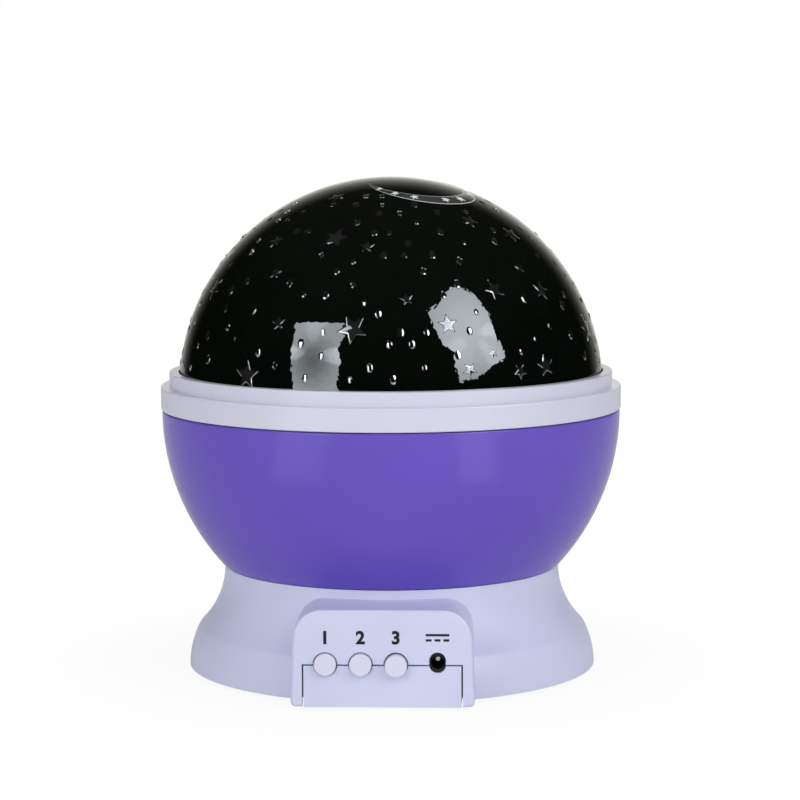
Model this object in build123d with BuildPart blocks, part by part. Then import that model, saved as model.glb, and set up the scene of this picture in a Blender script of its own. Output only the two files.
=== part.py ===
from build123d import *
import math
import os

# Rotating star night-light projector: a flared base with a button panel, a
# turning bowl on top of it, and a lift-off dome with star windows.
# Millimetres. +Z is up, z = 0 is the surface it stands on, the axis of the
# turning bowl is the Z axis, and the button panel faces -Y.

os.makedirs("parts", exist_ok=True)

# ---------------------------------------------------------------- heights
foot_proud = 0.8
globe_gap = 0.3
lower_ring_height = 6.15
dome_ring_height = 3.9

# ---------------------------------------------------------------- base shell
base_wall = 2.0
skirt_r = 55.92
skirt_mid_step = 0.97
skirt_mid_height = 6.2
crease_step = 2.82
crease_height = 10.7
crease_fillet = 3.0
neck_step = 7.15

# ---------------------------------------------------------------- button panel
panel_proud = 4.58
panel_depth = 23.5
panel_half_width = 23.6
panel_height = 25.1
panel_draft_deg = 2.3
panel_corner_r = 7.5
panel_foot_corner_r = 1.3
panel_edge_fillet = 0.9
seam_height = 11.1
seam_gap = 0.4
tab_side = 3.45

button_r = 2.875
button_pitch = 9.05
first_button_x = -14.6
button_hole_clearance = 0.3
button_proud = (1.6, 1.8, 2.3)
button_drop = (0.0, 0.0, 0.2)
button_edge_fillet = 0.6
button_flange_r = 3.8
button_flange_t = 1.0
button_stem_r = 2.0

# ---------------------------------------------------------------- DC inlet
jack_x = 14.1
jack_rise = 0.5
jack_slot_width = 4.27
jack_slot_height = 5.4
jack_clearance = 0.15
jack_recess = 0.9
jack_body_width = 7.2
jack_body_height = 7.2
jack_bore_r = 1.75
jack_bore_depth = 7.0
jack_pin_r = 0.55
jack_pin_inset = 4.4

# ---------------------------------------------------------------- bottom cover
cover_t = 2.0
cover_gap = 0.5
foot_r = 4.5
foot_recess = 0.8
foot_inset = 8.92
screw_inset = 9.92
screw_angle = 20.0
boss_r = 3.4
boss_height = 11.4
pad_t = 2.0

# ---------------------------------------------------------------- batteries
cell_r = 5.25
cell_length = 44.5
cell_nub_r = 1.9
cell_nub_length = 1.0
cell_gap = 0.7
cell_count = 4
bay_wall = 1.5
bay_end_wall = 2.5
bay_roof_t = 1.3
bay_front = -20.0
bay_clearance = 0.3
contact_t = 0.4
contact_size = 8.4
spring_length = 3.6
spring_wire_r = 0.3
spring_r = 2.4
spring_pitch = 1.0

# ---------------------------------------------------------------- battery door
door_gap = 0.3
door_barrel_r = 1.4
door_pin_r = 0.8
door_pin_length = 2.2
door_pin_clearance = 0.06
door_lug_width = 3.0
door_lug_r = 2.3
door_ledge_gap = 0.1
finger_notch_r = 7.0
finger_notch_depth = 0.7

# ---------------------------------------------------------------- turning bearing
deck_t = 2.0
collar_r = 12.0
collar_wall = 1.9
collar_height = 15.7
hub_clearance = 0.05
hub_wall = 2.45
washer_width = 3.0
washer_t = 1.0
clip_width = 2.2
clip_t = 1.2
clip_groove = 0.8
clip_fit = 0.05
clip_gap = 0.3
clip_mouth_deg = 70.0

# ---------------------------------------------------------------- lamp post
post_gap = 0.1
post_wall = 1.4
post_drop = 4.8
post_seat_wall = 0.8
flange_t = 2.0
flange_width = 4.0
ear_r = 3.2
ear_reach = 3.0
led_board_gap = 0.1
led_board_t = 1.2
led_r = 2.5
led_height = 8.6
led_flange_r = 2.9
led_flange_t = 1.0
led_circle_r = 4.6
led_names = ("led_white", "led_red", "led_green", "led_blue")

# ---------------------------------------------------------------- gear train
pressure_angle = 25.0
tooth_share = 0.46
ring_module = 0.8
ring_teeth = 82
idler_pinion_teeth = 14
drive_module = 0.5
idler_wheel_teeth = 40
motor_pinion_teeth = 10
ring_gear_wall = 4.0
ring_gear_height = 5.5
wheel_height = 2.5
idler_pinion_height = 5.0
axle_r = 1.0
axle_clearance = 0.05
idler_angle = 90.0
gear_lift = 0.6
axle_end = 0.3
axle_boss_r = 2.5
circlip_r = 2.1
circlip_t = 0.6
circlip_gap = 0.1

motor_r = 12.2
motor_height = 10.2
motor_clearance = 0.9
motor_nose_r = 3.5
motor_nose_height = 1.5
motor_wall = 1.4
motor_plate_t = 3.0
motor_hole_clearance = 0.1
motor_screw_r = 6.2
armature_clearance = 0.8

# ---------------------------------------------------------------- bowl
bowl_wall = 2.0
bowl_sphere_r = 62.7
bowl_overhang = 0.4
rim_above_centre = 0.5
bowl_rim_fillet = 0.4
pocket_wall = 2.0
pocket_height = 9.4
pocket_clearance = 0.2
tongue_step = 1.49
tongue_wall = 1.6
tongue_height = 4.2
ledge_width = 1.6
ledge_drop = 2.2
ring_screw_boss_r = 2.4
ring_screw_boss_height = 4.0

# ---------------------------------------------------------------- rings and deck
ring_overhang = 0.3
ring_seam = 0.25
ring_ledge = 4.0
ring_fit = 0.1
ring_edge_fillet = 0.3
dome_ring_step = 2.4
dome_ring_fillet = 0.3
spigot_clearance = 0.3
spigot_wall = 1.5
spigot_depth = 3.0
shelf_t = 1.0
deck_plate_t = 1.4
deck_rim_width = 1.8
deck_hole_r = 12.5
deck_slope_drop = 12.0

# ---------------------------------------------------------------- dome
dome_step = 2.6
dome_centre_drop = 2.41
dome_wall = 1.5
dome_fit = 0.14
mask_t = 0.5
mask_gap = 0.1

# Star windows, placed by azimuth from -Y towards +X and by elevation, in
# degrees, on half the dome: (azimuth, elevation, tip radius in mm, turn).
star_windows = (
    (-74, 40, 3.0, 15),
    (-66, 30, 3.6, 40),
    (-46, 46, 2.4, 20),
    (-37, 36, 2.0, 0),
    (-35, 66, 2.6, 50),
    (-30, 22, 2.2, 10),
    (-38, 8, 4.4, 0),
    (-19, 48, 4.0, 62),
    (-8, 21, 4.4, 30),
    (-6, 45, 2.2, 0),
    (7, 29, 2.0, 12),
    (18, 22, 2.9, 5),
    (23, 10, 2.2, 180),
    (30, 14, 1.6, 25),
    (35, 31, 3.2, 20),
    (38, 9, 2.4, 180),
    (40, 54, 2.6, 35),
    (47, 10, 3.4, 8),
    (49, 37, 1.8, 0),
    (54, 30, 3.0, 55),
    (58, 48, 3.2, 20),
    (74, 18, 4.2, 10),
    (83, 43, 2.8, 30),
    (89, 11, 2.6, 55),
    (92, 28, 3.4, 18),
    (97, 57, 2.4, 5),
)
star_waist = 0.42

# Dot windows on the same half: elevation, then the azimuths at it.
dot_windows = (
    (67, (-14, -3)),
    (62, (-31, -17, -2, 16, 68, 80, 113)),
    (58, (-61, -46, -3, 7, 26, 43, 72, 108)),
    (54, (-69, -59, -51, -12, 14, 86)),
    (50, (-39, -33, -4, 2, 23, 49, 72, 103)),
    (46, (-58, 9, 31, 45, 72, 95)),
    (42, (-56, -22, 0, 7, 17, 100)),
    (40, (-10, 26, 63, 91)),
    (37, (-64, -15, 13, 75, 84, 96)),
    (33, (-48, -30, -9, 23, 78, 104)),
    (30, (-54, -24, -17, 18, 84)),
    (28, (-5, 45, 66, 99)),
    (25, (-53, -40, -1, 27, 62, 82, 105)),
    (20, (-72, -49, -16, 5, 12, 24, 52, 86, 97)),
    (17, (-58, -45, -22, 2, 8, 45, 61, 93, 101)),
    (14, (-63, -35, -16, 20, 39, 82)),
    (11, (-55, -29, -3, 11, 67, 78, 99)),
    (8, (-66, -20, -8, 3, 82, 95, 105)),
)
dot_half_height = 1.3
dot_low_half_width = 0.8
dot_top_half_width = 1.25
dot_scales = (1.0, 0.85, 0.95, 0.7)

# Crescent window near the top, on half the dome as well.
moon_azimuth = 43.0
moon_elevation = 76.5
moon_r = 14.7
moon_bite_r = 13.0
moon_bite_shift = 2.9

# ---------------------------------------------------------------- fasteners, boards
screw_head_r = 2.7
screw_head_t = 1.5
screw_shank_r = 1.25
screw_length = 9.0
screw_bore_clearance = 0.05
screw_pass_clearance = 0.35
small_head_r = 1.5
small_head_t = 1.2
small_shank_r = 0.85
small_bore_r = 0.9

board_t = 1.6
board_side = 1.35
board_bottom = 4.0
board_height = 17.0
switch_size = 6.0
switch_depth = 3.5
switch_bore_depth = 1.2
plunger_r = 1.75
plunger_clearance = 0.06
plunger_length = 2.1
plunger_proud = 1.6
post_half_width = 1.8
board_post_inset = 1.9
board_post_depth = 5.0
board_screw_height = 14.0
wire_r = 0.55
lead_end_gap = 0.1

# ---------------------------------------------------------------- worked-out places
base_bottom = foot_proud
seam_z = base_bottom + seam_height
cover_top = base_bottom + cover_t
skirt_mid_r = skirt_r - skirt_mid_step
crease_r = skirt_r - crease_step
neck_r = crease_r - neck_step
panel_front = skirt_r + panel_proud
panel_back = panel_front - panel_depth
panel_inner = panel_front - base_wall
tab_half_width = panel_half_width - tab_side
foot_circle_r = skirt_r - foot_inset
screw_circle_r = skirt_r - screw_inset
cell_pitch = 2 * cell_r + cell_gap
bay_half_width = cell_pitch * cell_count / 2
bay_back = bay_front + 2 * contact_t + spring_length + cell_length
cell_axis_z = cover_top + bay_clearance + cell_r
bay_roof = cell_axis_z + cell_r + bay_clearance
bay_top = bay_roof + bay_roof_t
hinge_y = bay_back + bay_wall + door_gap + door_barrel_r
hinge_z = base_bottom + door_barrel_r
motor_bottom = bay_top + motor_clearance
deck_bottom = motor_bottom + motor_height
base_top = deck_bottom + deck_t
bowl_bottom = base_top + globe_gap
bowl_neck_r = neck_r + bowl_overhang
bowl_centre_z = bowl_bottom + math.sqrt(bowl_sphere_r ** 2 - bowl_neck_r ** 2)
bowl_rim = bowl_centre_z + rim_above_centre
tongue_r = bowl_sphere_r - tongue_step
tongue_top = bowl_rim + tongue_height
lower_ring_r = bowl_sphere_r + ring_overhang
ring_bore_r = tongue_r - ring_ledge
ring_bottom = bowl_rim + ring_seam
ring_top = ring_bottom + lower_ring_height
dome_ring_r = lower_ring_r - dome_ring_step
dome_r = dome_ring_r - dome_step
shelf_top = ring_top + shelf_t
dome_centre_z = shelf_top - dome_centre_drop
washer_r = collar_r + washer_width
clip_r = collar_r + clip_width
post_r = collar_r - collar_wall - post_gap
post_top = ring_top - post_drop
flange_r = post_r + flange_width
ear_circle_r = flange_r + ear_reach
led_board_r = post_r - post_seat_wall - led_board_gap
pocket_top = bowl_bottom + pocket_height
hub_top = pocket_top + pocket_wall + 1.0
ring_pitch_r = ring_module * ring_teeth / 2
idler_pinion_pitch_r = ring_module * idler_pinion_teeth / 2
idler_axis_r = ring_pitch_r - idler_pinion_pitch_r
ring_gear_r = ring_pitch_r + 1.25 * ring_module + ring_gear_wall
wheel_pitch_r = drive_module * idler_wheel_teeth / 2
motor_pinion_pitch_r = drive_module * motor_pinion_teeth / 2
gear_centres = wheel_pitch_r + motor_pinion_pitch_r
motor_axis_r = (flange_r + neck_r - base_wall) / 2
motor_swing = math.degrees(
    math.acos(
        (motor_axis_r ** 2 + idler_axis_r ** 2 - gear_centres ** 2)
        / (2 * motor_axis_r * idler_axis_r)
    )
)
motor_angle = idler_angle + motor_swing
wheel_bottom = base_top + gear_lift
wheel_top = wheel_bottom + wheel_height
idler_top = wheel_top + idler_pinion_height
axle_top = idler_top + circlip_gap + circlip_t + axle_end
ring_screw_circle_r = (ring_gear_r + ring_pitch_r + 1.25 * ring_module) / 2
board_half_width = tab_half_width - board_side
board_post_x = board_half_width - board_post_inset
board_front_y = -(panel_inner - 7.0)
board_z = board_bottom + board_height / 2
hole_r = button_r + button_hole_clearance - 0.025
button_xs = [first_button_x + i * button_pitch for i in range(3)]


def polar(radius, degrees):
    """Point at a radius and an angle from +X, in the XY plane."""
    angle = math.radians(degrees)
    return (radius * math.cos(angle), radius * math.sin(angle))


idler_xy = polar(idler_axis_r, idler_angle)
motor_xy = polar(motor_axis_r, motor_angle)
motor_bearing = math.degrees(math.atan2(motor_xy[1] - idler_xy[1], motor_xy[0] - idler_xy[0]))


def save(builder, name):
    """Label a finished piece and write it as its own STEP file."""
    builder.part.label = name
    export_step(builder.part, "parts/" + name + ".step")


# ================================================================ base
def skirt_outline(inset, top):
    """Half section of the flared skirt: convex foot, soft crease, hollow neck."""
    rise = top - base_bottom
    flare_r = neck_r - inset
    run = crease_r - inset - flare_r
    neck_rise = rise - crease_height
    curve_r = (run ** 2 + neck_rise ** 2) / (2 * run)
    mid_angle = math.asin(neck_rise / curve_r) / 2
    mid = (
        flare_r + curve_r * (1 - math.cos(mid_angle)),
        top - curve_r * math.sin(mid_angle),
    )
    foot = (skirt_r - inset, base_bottom)
    waist = (crease_r - inset, base_bottom + crease_height)
    with BuildSketch() as outline:
        with BuildLine():
            Line((0, base_bottom), foot)
            ThreePointArc(foot, (skirt_mid_r - inset, base_bottom + skirt_mid_height), waist)
            ThreePointArc(waist, mid, (flare_r, top))
            Line((flare_r, top), (0, top))
            Line((0, top), (0, base_bottom))
        make_face()
        crease = vertices().sort_by_distance((waist[0], waist[1], 0))[0]
        fillet(crease, crease_fillet)
    return outline.sketch_local


def panel_outline(inset):
    """Front outline of the panel box: drafted sides and rounded corners."""
    top = base_bottom + panel_height - inset
    half_low = panel_half_width - inset
    half_high = half_low - panel_height * math.tan(math.radians(panel_draft_deg))
    corners = [
        (-half_low, base_bottom),
        (half_low, base_bottom),
        (half_high, top),
        (-half_high, top),
    ]
    with BuildSketch() as outline:
        with BuildLine():
            Polyline(*corners, close=True)
        make_face()
        fillet(vertices().group_by(Axis.Y)[-1], panel_corner_r - inset)
        if inset == 0:
            fillet(vertices().group_by(Axis.Y)[0], panel_foot_corner_r)
    return outline.sketch_local


def panel_holes():
    """Button holes and the inlet slot, centred on the seam of the panel."""
    with Locations(*[(x, seam_z) for x in button_xs]):
        Circle(hole_r)
    with Locations((jack_x, seam_z + jack_rise)):
        SlotOverall(jack_slot_height, jack_slot_width, rotation=90)


boss_angles = (screw_angle, 180 - screw_angle, 180 + screw_angle, -screw_angle)
boss_places = [polar(screw_circle_r, a) for a in boss_angles]
boss_bottom = cover_top + pad_t
motor_screw_places = [
    (
        motor_xy[0] + polar(motor_screw_r, motor_bearing + side)[0],
        motor_xy[1] + polar(motor_screw_r, motor_bearing + side)[1],
    )
    for side in (90, -90)
]
ear_angles = (motor_angle + 60, motor_angle + 180, motor_angle - 60)
ear_places = [polar(ear_circle_r, a) for a in ear_angles]

with BuildPart() as base_shell:
    with BuildSketch(Plane.XZ):
        add(skirt_outline(0, base_top))
    revolve(axis=Axis.Z)
    with BuildSketch(Plane.XZ.offset(panel_front)):
        add(panel_outline(0))
    extrude(amount=panel_back - panel_front)
    front_rim = edges().filter_by(
        lambda e: abs(e.center().Y + panel_front) < 0.01 and e.center().Z > base_bottom + 0.1
    )
    fillet(front_rim, panel_edge_fillet)
    with BuildSketch(Plane.XZ):
        add(skirt_outline(base_wall, deck_bottom))
    revolve(axis=Axis.Z, mode=Mode.SUBTRACT)
    with BuildSketch(Plane.XZ.offset(panel_inner)):
        add(panel_outline(base_wall))
    extrude(amount=panel_back - panel_inner, mode=Mode.SUBTRACT)
    with BuildSketch(Plane.XZ.offset(panel_inner)):
        with Locations((0, base_bottom)):
            Rectangle(
                2 * tab_half_width + 2 * seam_gap,
                seam_height,
                align=(Align.CENTER, Align.MIN),
            )
        panel_holes()
    extrude(amount=base_wall, mode=Mode.SUBTRACT)
    # centre collar that the bowl turns on, with a groove for its clip
    with BuildSketch(Plane.XY.offset(base_top)):
        Circle(collar_r)
    extrude(amount=collar_height)
    with BuildSketch(Plane.XY.offset(deck_bottom)):
        Circle(collar_r - collar_wall)
    extrude(amount=deck_t + collar_height, mode=Mode.SUBTRACT)
    with BuildSketch(Plane.XY.offset(hub_top + clip_gap)):
        Circle(collar_r)
        Circle(collar_r - clip_groove, mode=Mode.SUBTRACT)
    extrude(amount=clip_t, mode=Mode.SUBTRACT)
    # recess of the thrust washer
    with BuildSketch(Plane.XY.offset(bowl_bottom - washer_t)):
        Circle(washer_r + 0.1)
        Circle(collar_r, mode=Mode.SUBTRACT)
    extrude(amount=base_top - bowl_bottom + washer_t, mode=Mode.SUBTRACT)
    # screw bosses that meet the bottom cover
    with BuildSketch(Plane.XY.offset(boss_bottom)):
        with Locations(*boss_places):
            Circle(boss_r)
    extrude(amount=boss_height)
    with BuildSketch(Plane.XY.offset(boss_bottom)):
        with Locations(*boss_places):
            Circle(screw_shank_r + screw_bore_clearance)
    extrude(amount=screw_length, mode=Mode.SUBTRACT)
    # axle boss of the idler gear
    with BuildSketch(Plane.XY.offset(base_top)):
        with Locations(idler_xy):
            Circle(axle_boss_r)
    extrude(amount=gear_lift)
    with BuildSketch(Plane.XY.offset(deck_bottom)):
        with Locations(idler_xy):
            Circle(axle_r)
    extrude(amount=wheel_bottom - deck_bottom, mode=Mode.SUBTRACT)
    # motor nose hole, its screw holes and the lamp post's screw holes
    with BuildSketch(Plane.XY.offset(deck_bottom)):
        with Locations(motor_xy):
            Circle(motor_nose_r + motor_hole_clearance)
        with Locations(*motor_screw_places):
            Circle(small_bore_r + 0.1)
    extrude(amount=deck_t, mode=Mode.SUBTRACT)
    with BuildSketch(Plane.XY.offset(deck_bottom)):
        with Locations(*ear_places):
            Circle(small_bore_r)
    extrude(amount=deck_t - 0.2, mode=Mode.SUBTRACT)
save(base_shell, "base_shell")

# ---------------------------------------------------------------- bottom cover
bay_length = bay_back - bay_front
bay_middle = (bay_back + bay_front) / 2
door_front = bay_front - 1.0
opening_front = door_front - door_gap
opening_back = hinge_y + door_barrel_r + door_gap
foot_places = [polar(foot_circle_r, 45 + 90 * i) for i in range(4)]
lug_x = bay_half_width + door_lug_width / 2
board_back_y = board_front_y + board_t
board_screw_z = board_bottom + board_screw_height

with BuildPart() as bottom_cover:
    with BuildSketch(Plane.XY.offset(base_bottom)):
        Circle(skirt_r - base_wall - cover_gap)
        Rectangle(2 * tab_half_width, panel_front, align=(Align.CENTER, Align.MAX))
    extrude(amount=cover_t)
    # upright tab that closes the lower half of the panel
    with BuildSketch(Plane.XZ.offset(panel_inner)):
        with Locations((0, base_bottom)):
            Rectangle(
                2 * tab_half_width,
                seam_height - seam_gap,
                align=(Align.CENTER, Align.MIN),
            )
    extrude(amount=base_wall)
    with BuildSketch(Plane.XZ.offset(panel_inner)):
        panel_holes()
    extrude(amount=base_wall, mode=Mode.SUBTRACT)
    # battery bay
    with BuildSketch(Plane.XY.offset(base_bottom)):
        with Locations((0, bay_front - bay_end_wall)):
            Rectangle(
                2 * (bay_half_width + bay_wall),
                bay_length + bay_end_wall + bay_wall,
                align=(Align.CENTER, Align.MIN),
            )
    extrude(amount=bay_top - base_bottom)
    with BuildSketch(Plane.XY.offset(cover_top + door_ledge_gap)):
        with Locations((0, bay_middle)):
            Rectangle(2 * bay_half_width, bay_length)
    extrude(amount=bay_roof - cover_top - door_ledge_gap, mode=Mode.SUBTRACT)
    with BuildSketch(Plane.XY.offset(base_bottom)):
        with Locations((0, opening_front)):
            Rectangle(
                2 * bay_half_width,
                opening_back - opening_front,
                align=(Align.CENTER, Align.MIN),
            )
    extrude(amount=cover_t + door_ledge_gap, mode=Mode.SUBTRACT)
    # hinge lugs of the battery door
    for side in (-1, 1):
        with BuildSketch(Plane.YZ.offset(side * lug_x)):
            with Locations((hinge_y, base_bottom)):
                Rectangle(2 * door_lug_r, 2 * door_lug_r, align=(Align.CENTER, Align.MIN))
        extrude(amount=door_lug_width / 2, both=True)
        with BuildSketch(Plane.YZ.offset(side * bay_half_width)):
            with Locations((hinge_y, hinge_z)):
                Circle(door_pin_r + door_pin_clearance)
        extrude(amount=side * (door_pin_length + door_gap), mode=Mode.SUBTRACT)
    # screw pads, foot recesses and the board's two posts
    with BuildSketch(Plane.XY.offset(cover_top)):
        with Locations(*boss_places):
            Circle(boss_r)
    extrude(amount=pad_t)
    with BuildSketch(Plane.XY.offset(base_bottom)):
        with Locations(*boss_places):
            Circle(screw_head_r + screw_pass_clearance)
    extrude(amount=screw_head_t + 0.1, mode=Mode.SUBTRACT)
    with BuildSketch(Plane.XY.offset(base_bottom)):
        with Locations(*boss_places):
            Circle(screw_shank_r + screw_pass_clearance)
    extrude(amount=cover_t + pad_t, mode=Mode.SUBTRACT)
    with BuildSketch(Plane.XY.offset(base_bottom)):
        with Locations(*foot_places):
            Circle(foot_r + 0.1)
    extrude(amount=foot_recess, mode=Mode.SUBTRACT)
    with BuildSketch(Plane.XY.offset(cover_top)):
        with Locations(*[(s * board_post_x, board_back_y) for s in (-1, 1)]):
            Rectangle(
                2 * post_half_width,
                board_post_depth,
                align=(Align.CENTER, Align.MIN),
            )
    extrude(amount=board_bottom + board_height - cover_top)
    with BuildSketch(Plane.XZ.offset(-board_back_y)):
        with Locations(*[(s * board_post_x, board_screw_z) for s in (-1, 1)]):
            Circle(small_bore_r)
    extrude(amount=-(board_post_depth - 1.0), mode=Mode.SUBTRACT)
save(bottom_cover, "bottom_cover")

with BuildPart() as rubber_feet:
    with BuildSketch():
        with Locations(*foot_places):
            Circle(foot_r)
    extrude(amount=foot_proud + foot_recess)
save(rubber_feet, "rubber_feet")

with BuildPart() as base_screws:
    head_bottom = base_bottom + 0.1
    with BuildSketch(Plane.XY.offset(head_bottom)):
        with Locations(*boss_places):
            Circle(screw_head_r)
    extrude(amount=screw_head_t)
    with BuildSketch(Plane.XY.offset(head_bottom + screw_head_t)):
        with Locations(*boss_places):
            Circle(screw_shank_r)
    extrude(amount=screw_length)
save(base_screws, "base_screws")

# ---------------------------------------------------------------- battery door
with BuildPart() as battery_door:
    with BuildSketch(Plane.XY.offset(base_bottom)):
        with Locations((0, door_front)):
            Rectangle(
                2 * (bay_half_width - door_gap),
                hinge_y - door_front,
                align=(Align.CENTER, Align.MIN),
            )
    extrude(amount=cover_t)
    with BuildSketch(Plane.XY.offset(base_bottom)):
        with Locations((0, door_front + finger_notch_r / 2)):
            SlotOverall(2 * finger_notch_r, finger_notch_r / 2)
    extrude(amount=finger_notch_depth, mode=Mode.SUBTRACT)
    with BuildSketch(Plane.YZ):
        with Locations((hinge_y, hinge_z)):
            Circle(door_barrel_r)
    extrude(amount=bay_half_width - door_gap, both=True)
    with BuildSketch(Plane.YZ):
        with Locations((hinge_y, hinge_z)):
            Circle(door_pin_r)
    extrude(amount=bay_half_width - door_gap + door_pin_length, both=True)
save(battery_door, "battery_door")

# ---------------------------------------------------------------- cells and contacts
cell_xs = [(i - (cell_count - 1) / 2) * cell_pitch for i in range(cell_count)]
can_length = cell_length - cell_nub_length

with BuildPart() as battery_cells:
    for i, x in enumerate(cell_xs):
        facing = 1 if i % 2 == 0 else -1
        nub_end = bay_back - contact_t if facing == 1 else bay_front + contact_t
        nub_root = nub_end - facing * cell_nub_length
        with BuildSketch(Plane.XZ.offset(-nub_root)):
            with Locations((x, cell_axis_z)):
                Circle(cell_r)
        extrude(amount=facing * can_length)
        with BuildSketch(Plane.XZ.offset(-nub_root)):
            with Locations((x, cell_axis_z)):
                Circle(cell_nub_r)
        extrude(amount=-facing * cell_nub_length)
save(battery_cells, "battery_cells")

with BuildPart() as contact_plates:
    for end, inward in ((bay_front, 1), (bay_back, -1)):
        with BuildSketch(Plane.XZ.offset(-end)):
            with Locations(*[(x, cell_axis_z) for x in cell_xs]):
                Rectangle(contact_size, contact_size)
        extrude(amount=-inward * contact_t)
save(contact_plates, "contact_plates")

with BuildPart() as contact_springs:
    coil_height = spring_length - 2 * spring_wire_r
    for i, x in enumerate(cell_xs):
        at_front = i % 2 == 0
        root = bay_front + contact_t if at_front else bay_back - contact_t
        inward = 1 if at_front else -1
        start = root + inward * spring_wire_r
        with BuildLine():
            coil = Helix(
                spring_pitch,
                coil_height,
                spring_r,
                center=(x, start, cell_axis_z),
                direction=(0, inward, 0),
            )
        with BuildSketch(Plane(origin=coil @ 0, z_dir=coil % 0)):
            Circle(spring_wire_r)
        sweep(path=coil)
save(contact_springs, "contact_springs")

# ---------------------------------------------------------------- board and switches
with BuildPart() as control_board:
    with BuildSketch(Plane.XZ.offset(-board_back_y)):
        with Locations((0, board_z)):
            Rectangle(2 * board_half_width, board_height)
        with Locations(*[(s * board_post_x, board_screw_z) for s in (-1, 1)]):
            Circle(small_shank_r + 0.15, mode=Mode.SUBTRACT)
    extrude(amount=board_t)
save(control_board, "control_board")

with BuildPart() as board_screws:
    with BuildSketch(Plane.XZ.offset(-board_front_y)):
        with Locations(*[(s * board_post_x, board_screw_z) for s in (-1, 1)]):
            Circle(small_head_r)
    extrude(amount=small_head_t)
    with BuildSketch(Plane.XZ.offset(-board_front_y)):
        with Locations(*[(s * board_post_x, board_screw_z) for s in (-1, 1)]):
            Circle(small_shank_r)
    extrude(amount=-(board_t + board_post_depth - 1.5))
save(board_screws, "board_screws")

with BuildPart() as board_parts:
    with BuildSketch(Plane.XZ.offset(-board_back_y)):
        with Locations((2.0, board_bottom + 8.5)):
            Rectangle(5.0, 4.0)
    extrude(amount=-1.5)
    with BuildSketch(Plane.XZ.offset(-board_back_y)):
        with Locations((-4.5, board_bottom + 3.5)):
            Circle(2.5)
    extrude(amount=-7.0)
save(board_parts, "board_parts")

switch_front_y = board_front_y - switch_depth
with BuildPart() as tact_switches:
    for x, drop in zip(button_xs, button_drop):
        with BuildSketch(Plane.XZ.offset(-board_front_y)):
            with Locations((x, seam_z - drop)):
                Rectangle(switch_size, switch_size)
        extrude(amount=switch_depth)
        with BuildSketch(Plane.XZ.offset(-switch_front_y)):
            with Locations((x, seam_z - drop)):
                Circle(plunger_r + plunger_clearance)
        extrude(amount=-switch_bore_depth, mode=Mode.SUBTRACT)
save(tact_switches, "tact_switches")

# ---------------------------------------------------------------- buttons
flange_front = panel_inner - 0.2
stem_end = -switch_front_y + plunger_proud
for number, x in enumerate(button_xs):
    z = seam_z - button_drop[number]
    with BuildPart() as button:
        with BuildSketch(Plane.XZ.offset(flange_front - button_flange_t)):
            with Locations((x, z)):
                Circle(button_flange_r)
        extrude(amount=button_flange_t)
        with BuildSketch(Plane.XZ.offset(flange_front)):
            with Locations((x, z)):
                Circle(button_r)
        extrude(amount=panel_front + button_proud[number] - flange_front)
        fillet(edges().sort_by(Axis.Y)[0], button_edge_fillet)
        with BuildSketch(Plane.XZ.offset(stem_end)):
            with Locations((x, z)):
                Circle(button_stem_r)
        extrude(amount=flange_front - button_flange_t - stem_end)
    save(button, "button_" + str(number + 1))
    with BuildPart() as plunger:
        with BuildSketch(Plane.XZ.offset(stem_end)):
            with Locations((x, z)):
                Circle(plunger_r)
        extrude(amount=-plunger_length)
    save(plunger, "switch_plunger_" + str(number + 1))

# ---------------------------------------------------------------- DC inlet
jack_z = seam_z + jack_rise
nose_front = panel_front - jack_recess
jack_face = panel_inner - 0.1
bore_end = nose_front - jack_bore_depth
with BuildPart() as dc_jack_body:
    with BuildSketch(Plane.XZ.offset(-board_front_y)):
        with Locations((jack_x, jack_z)):
            Rectangle(jack_body_width, jack_body_height)
    extrude(amount=jack_face + board_front_y)
    with BuildSketch(Plane.XZ.offset(jack_face)):
        with Locations((jack_x, jack_z)):
            SlotOverall(
                jack_slot_height - 2 * jack_clearance,
                jack_slot_width - 2 * jack_clearance,
                rotation=90,
            )
    extrude(amount=nose_front - jack_face)
    with BuildSketch(Plane.XZ.offset(nose_front)):
        with Locations((jack_x, jack_z)):
            Circle(jack_bore_r)
    extrude(amount=-jack_bore_depth, mode=Mode.SUBTRACT)
save(dc_jack_body, "dc_jack_body")

with BuildPart() as dc_jack_pin:
    with BuildSketch(Plane.XZ.offset(bore_end)):
        with Locations((jack_x, jack_z)):
            Circle(jack_pin_r)
    extrude(amount=jack_bore_depth - jack_pin_inset)
save(dc_jack_pin, "dc_jack_pin")

# ---------------------------------------------------------------- lamp post and LEDs
led_board_top = post_top - 0.2
led_board_bottom = led_board_top - led_board_t

with BuildPart() as lamp_post:
    with BuildSketch(Plane.XY.offset(deck_bottom - flange_t)):
        Circle(flange_r)
        with Locations(*ear_places):
            Circle(ear_r)
        make_hull()
    extrude(amount=flange_t)
    with BuildSketch(Plane.XY.offset(deck_bottom)):
        Circle(post_r)
    extrude(amount=post_top - deck_bottom)
    with BuildSketch(Plane.XY.offset(deck_bottom - flange_t)):
        Circle(post_r - post_wall)
    extrude(amount=post_top - deck_bottom + flange_t, mode=Mode.SUBTRACT)
    with BuildSketch(Plane.XY.offset(led_board_bottom)):
        Circle(post_r - post_seat_wall)
    extrude(amount=post_top - led_board_bottom, mode=Mode.SUBTRACT)
    with BuildSketch(Plane.XY.offset(deck_bottom - flange_t)):
        with Locations(*ear_places):
            Circle(small_shank_r + 0.15)
    extrude(amount=flange_t, mode=Mode.SUBTRACT)
save(lamp_post, "lamp_post")

with BuildPart() as post_screws:
    with BuildSketch(Plane.XY.offset(deck_bottom - flange_t)):
        with Locations(*ear_places):
            Circle(small_head_r)
    extrude(amount=-small_head_t)
    with BuildSketch(Plane.XY.offset(deck_bottom - flange_t)):
        with Locations(*ear_places):
            Circle(small_shank_r)
    extrude(amount=flange_t + deck_t - 0.4)
save(post_screws, "post_screws")

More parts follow.
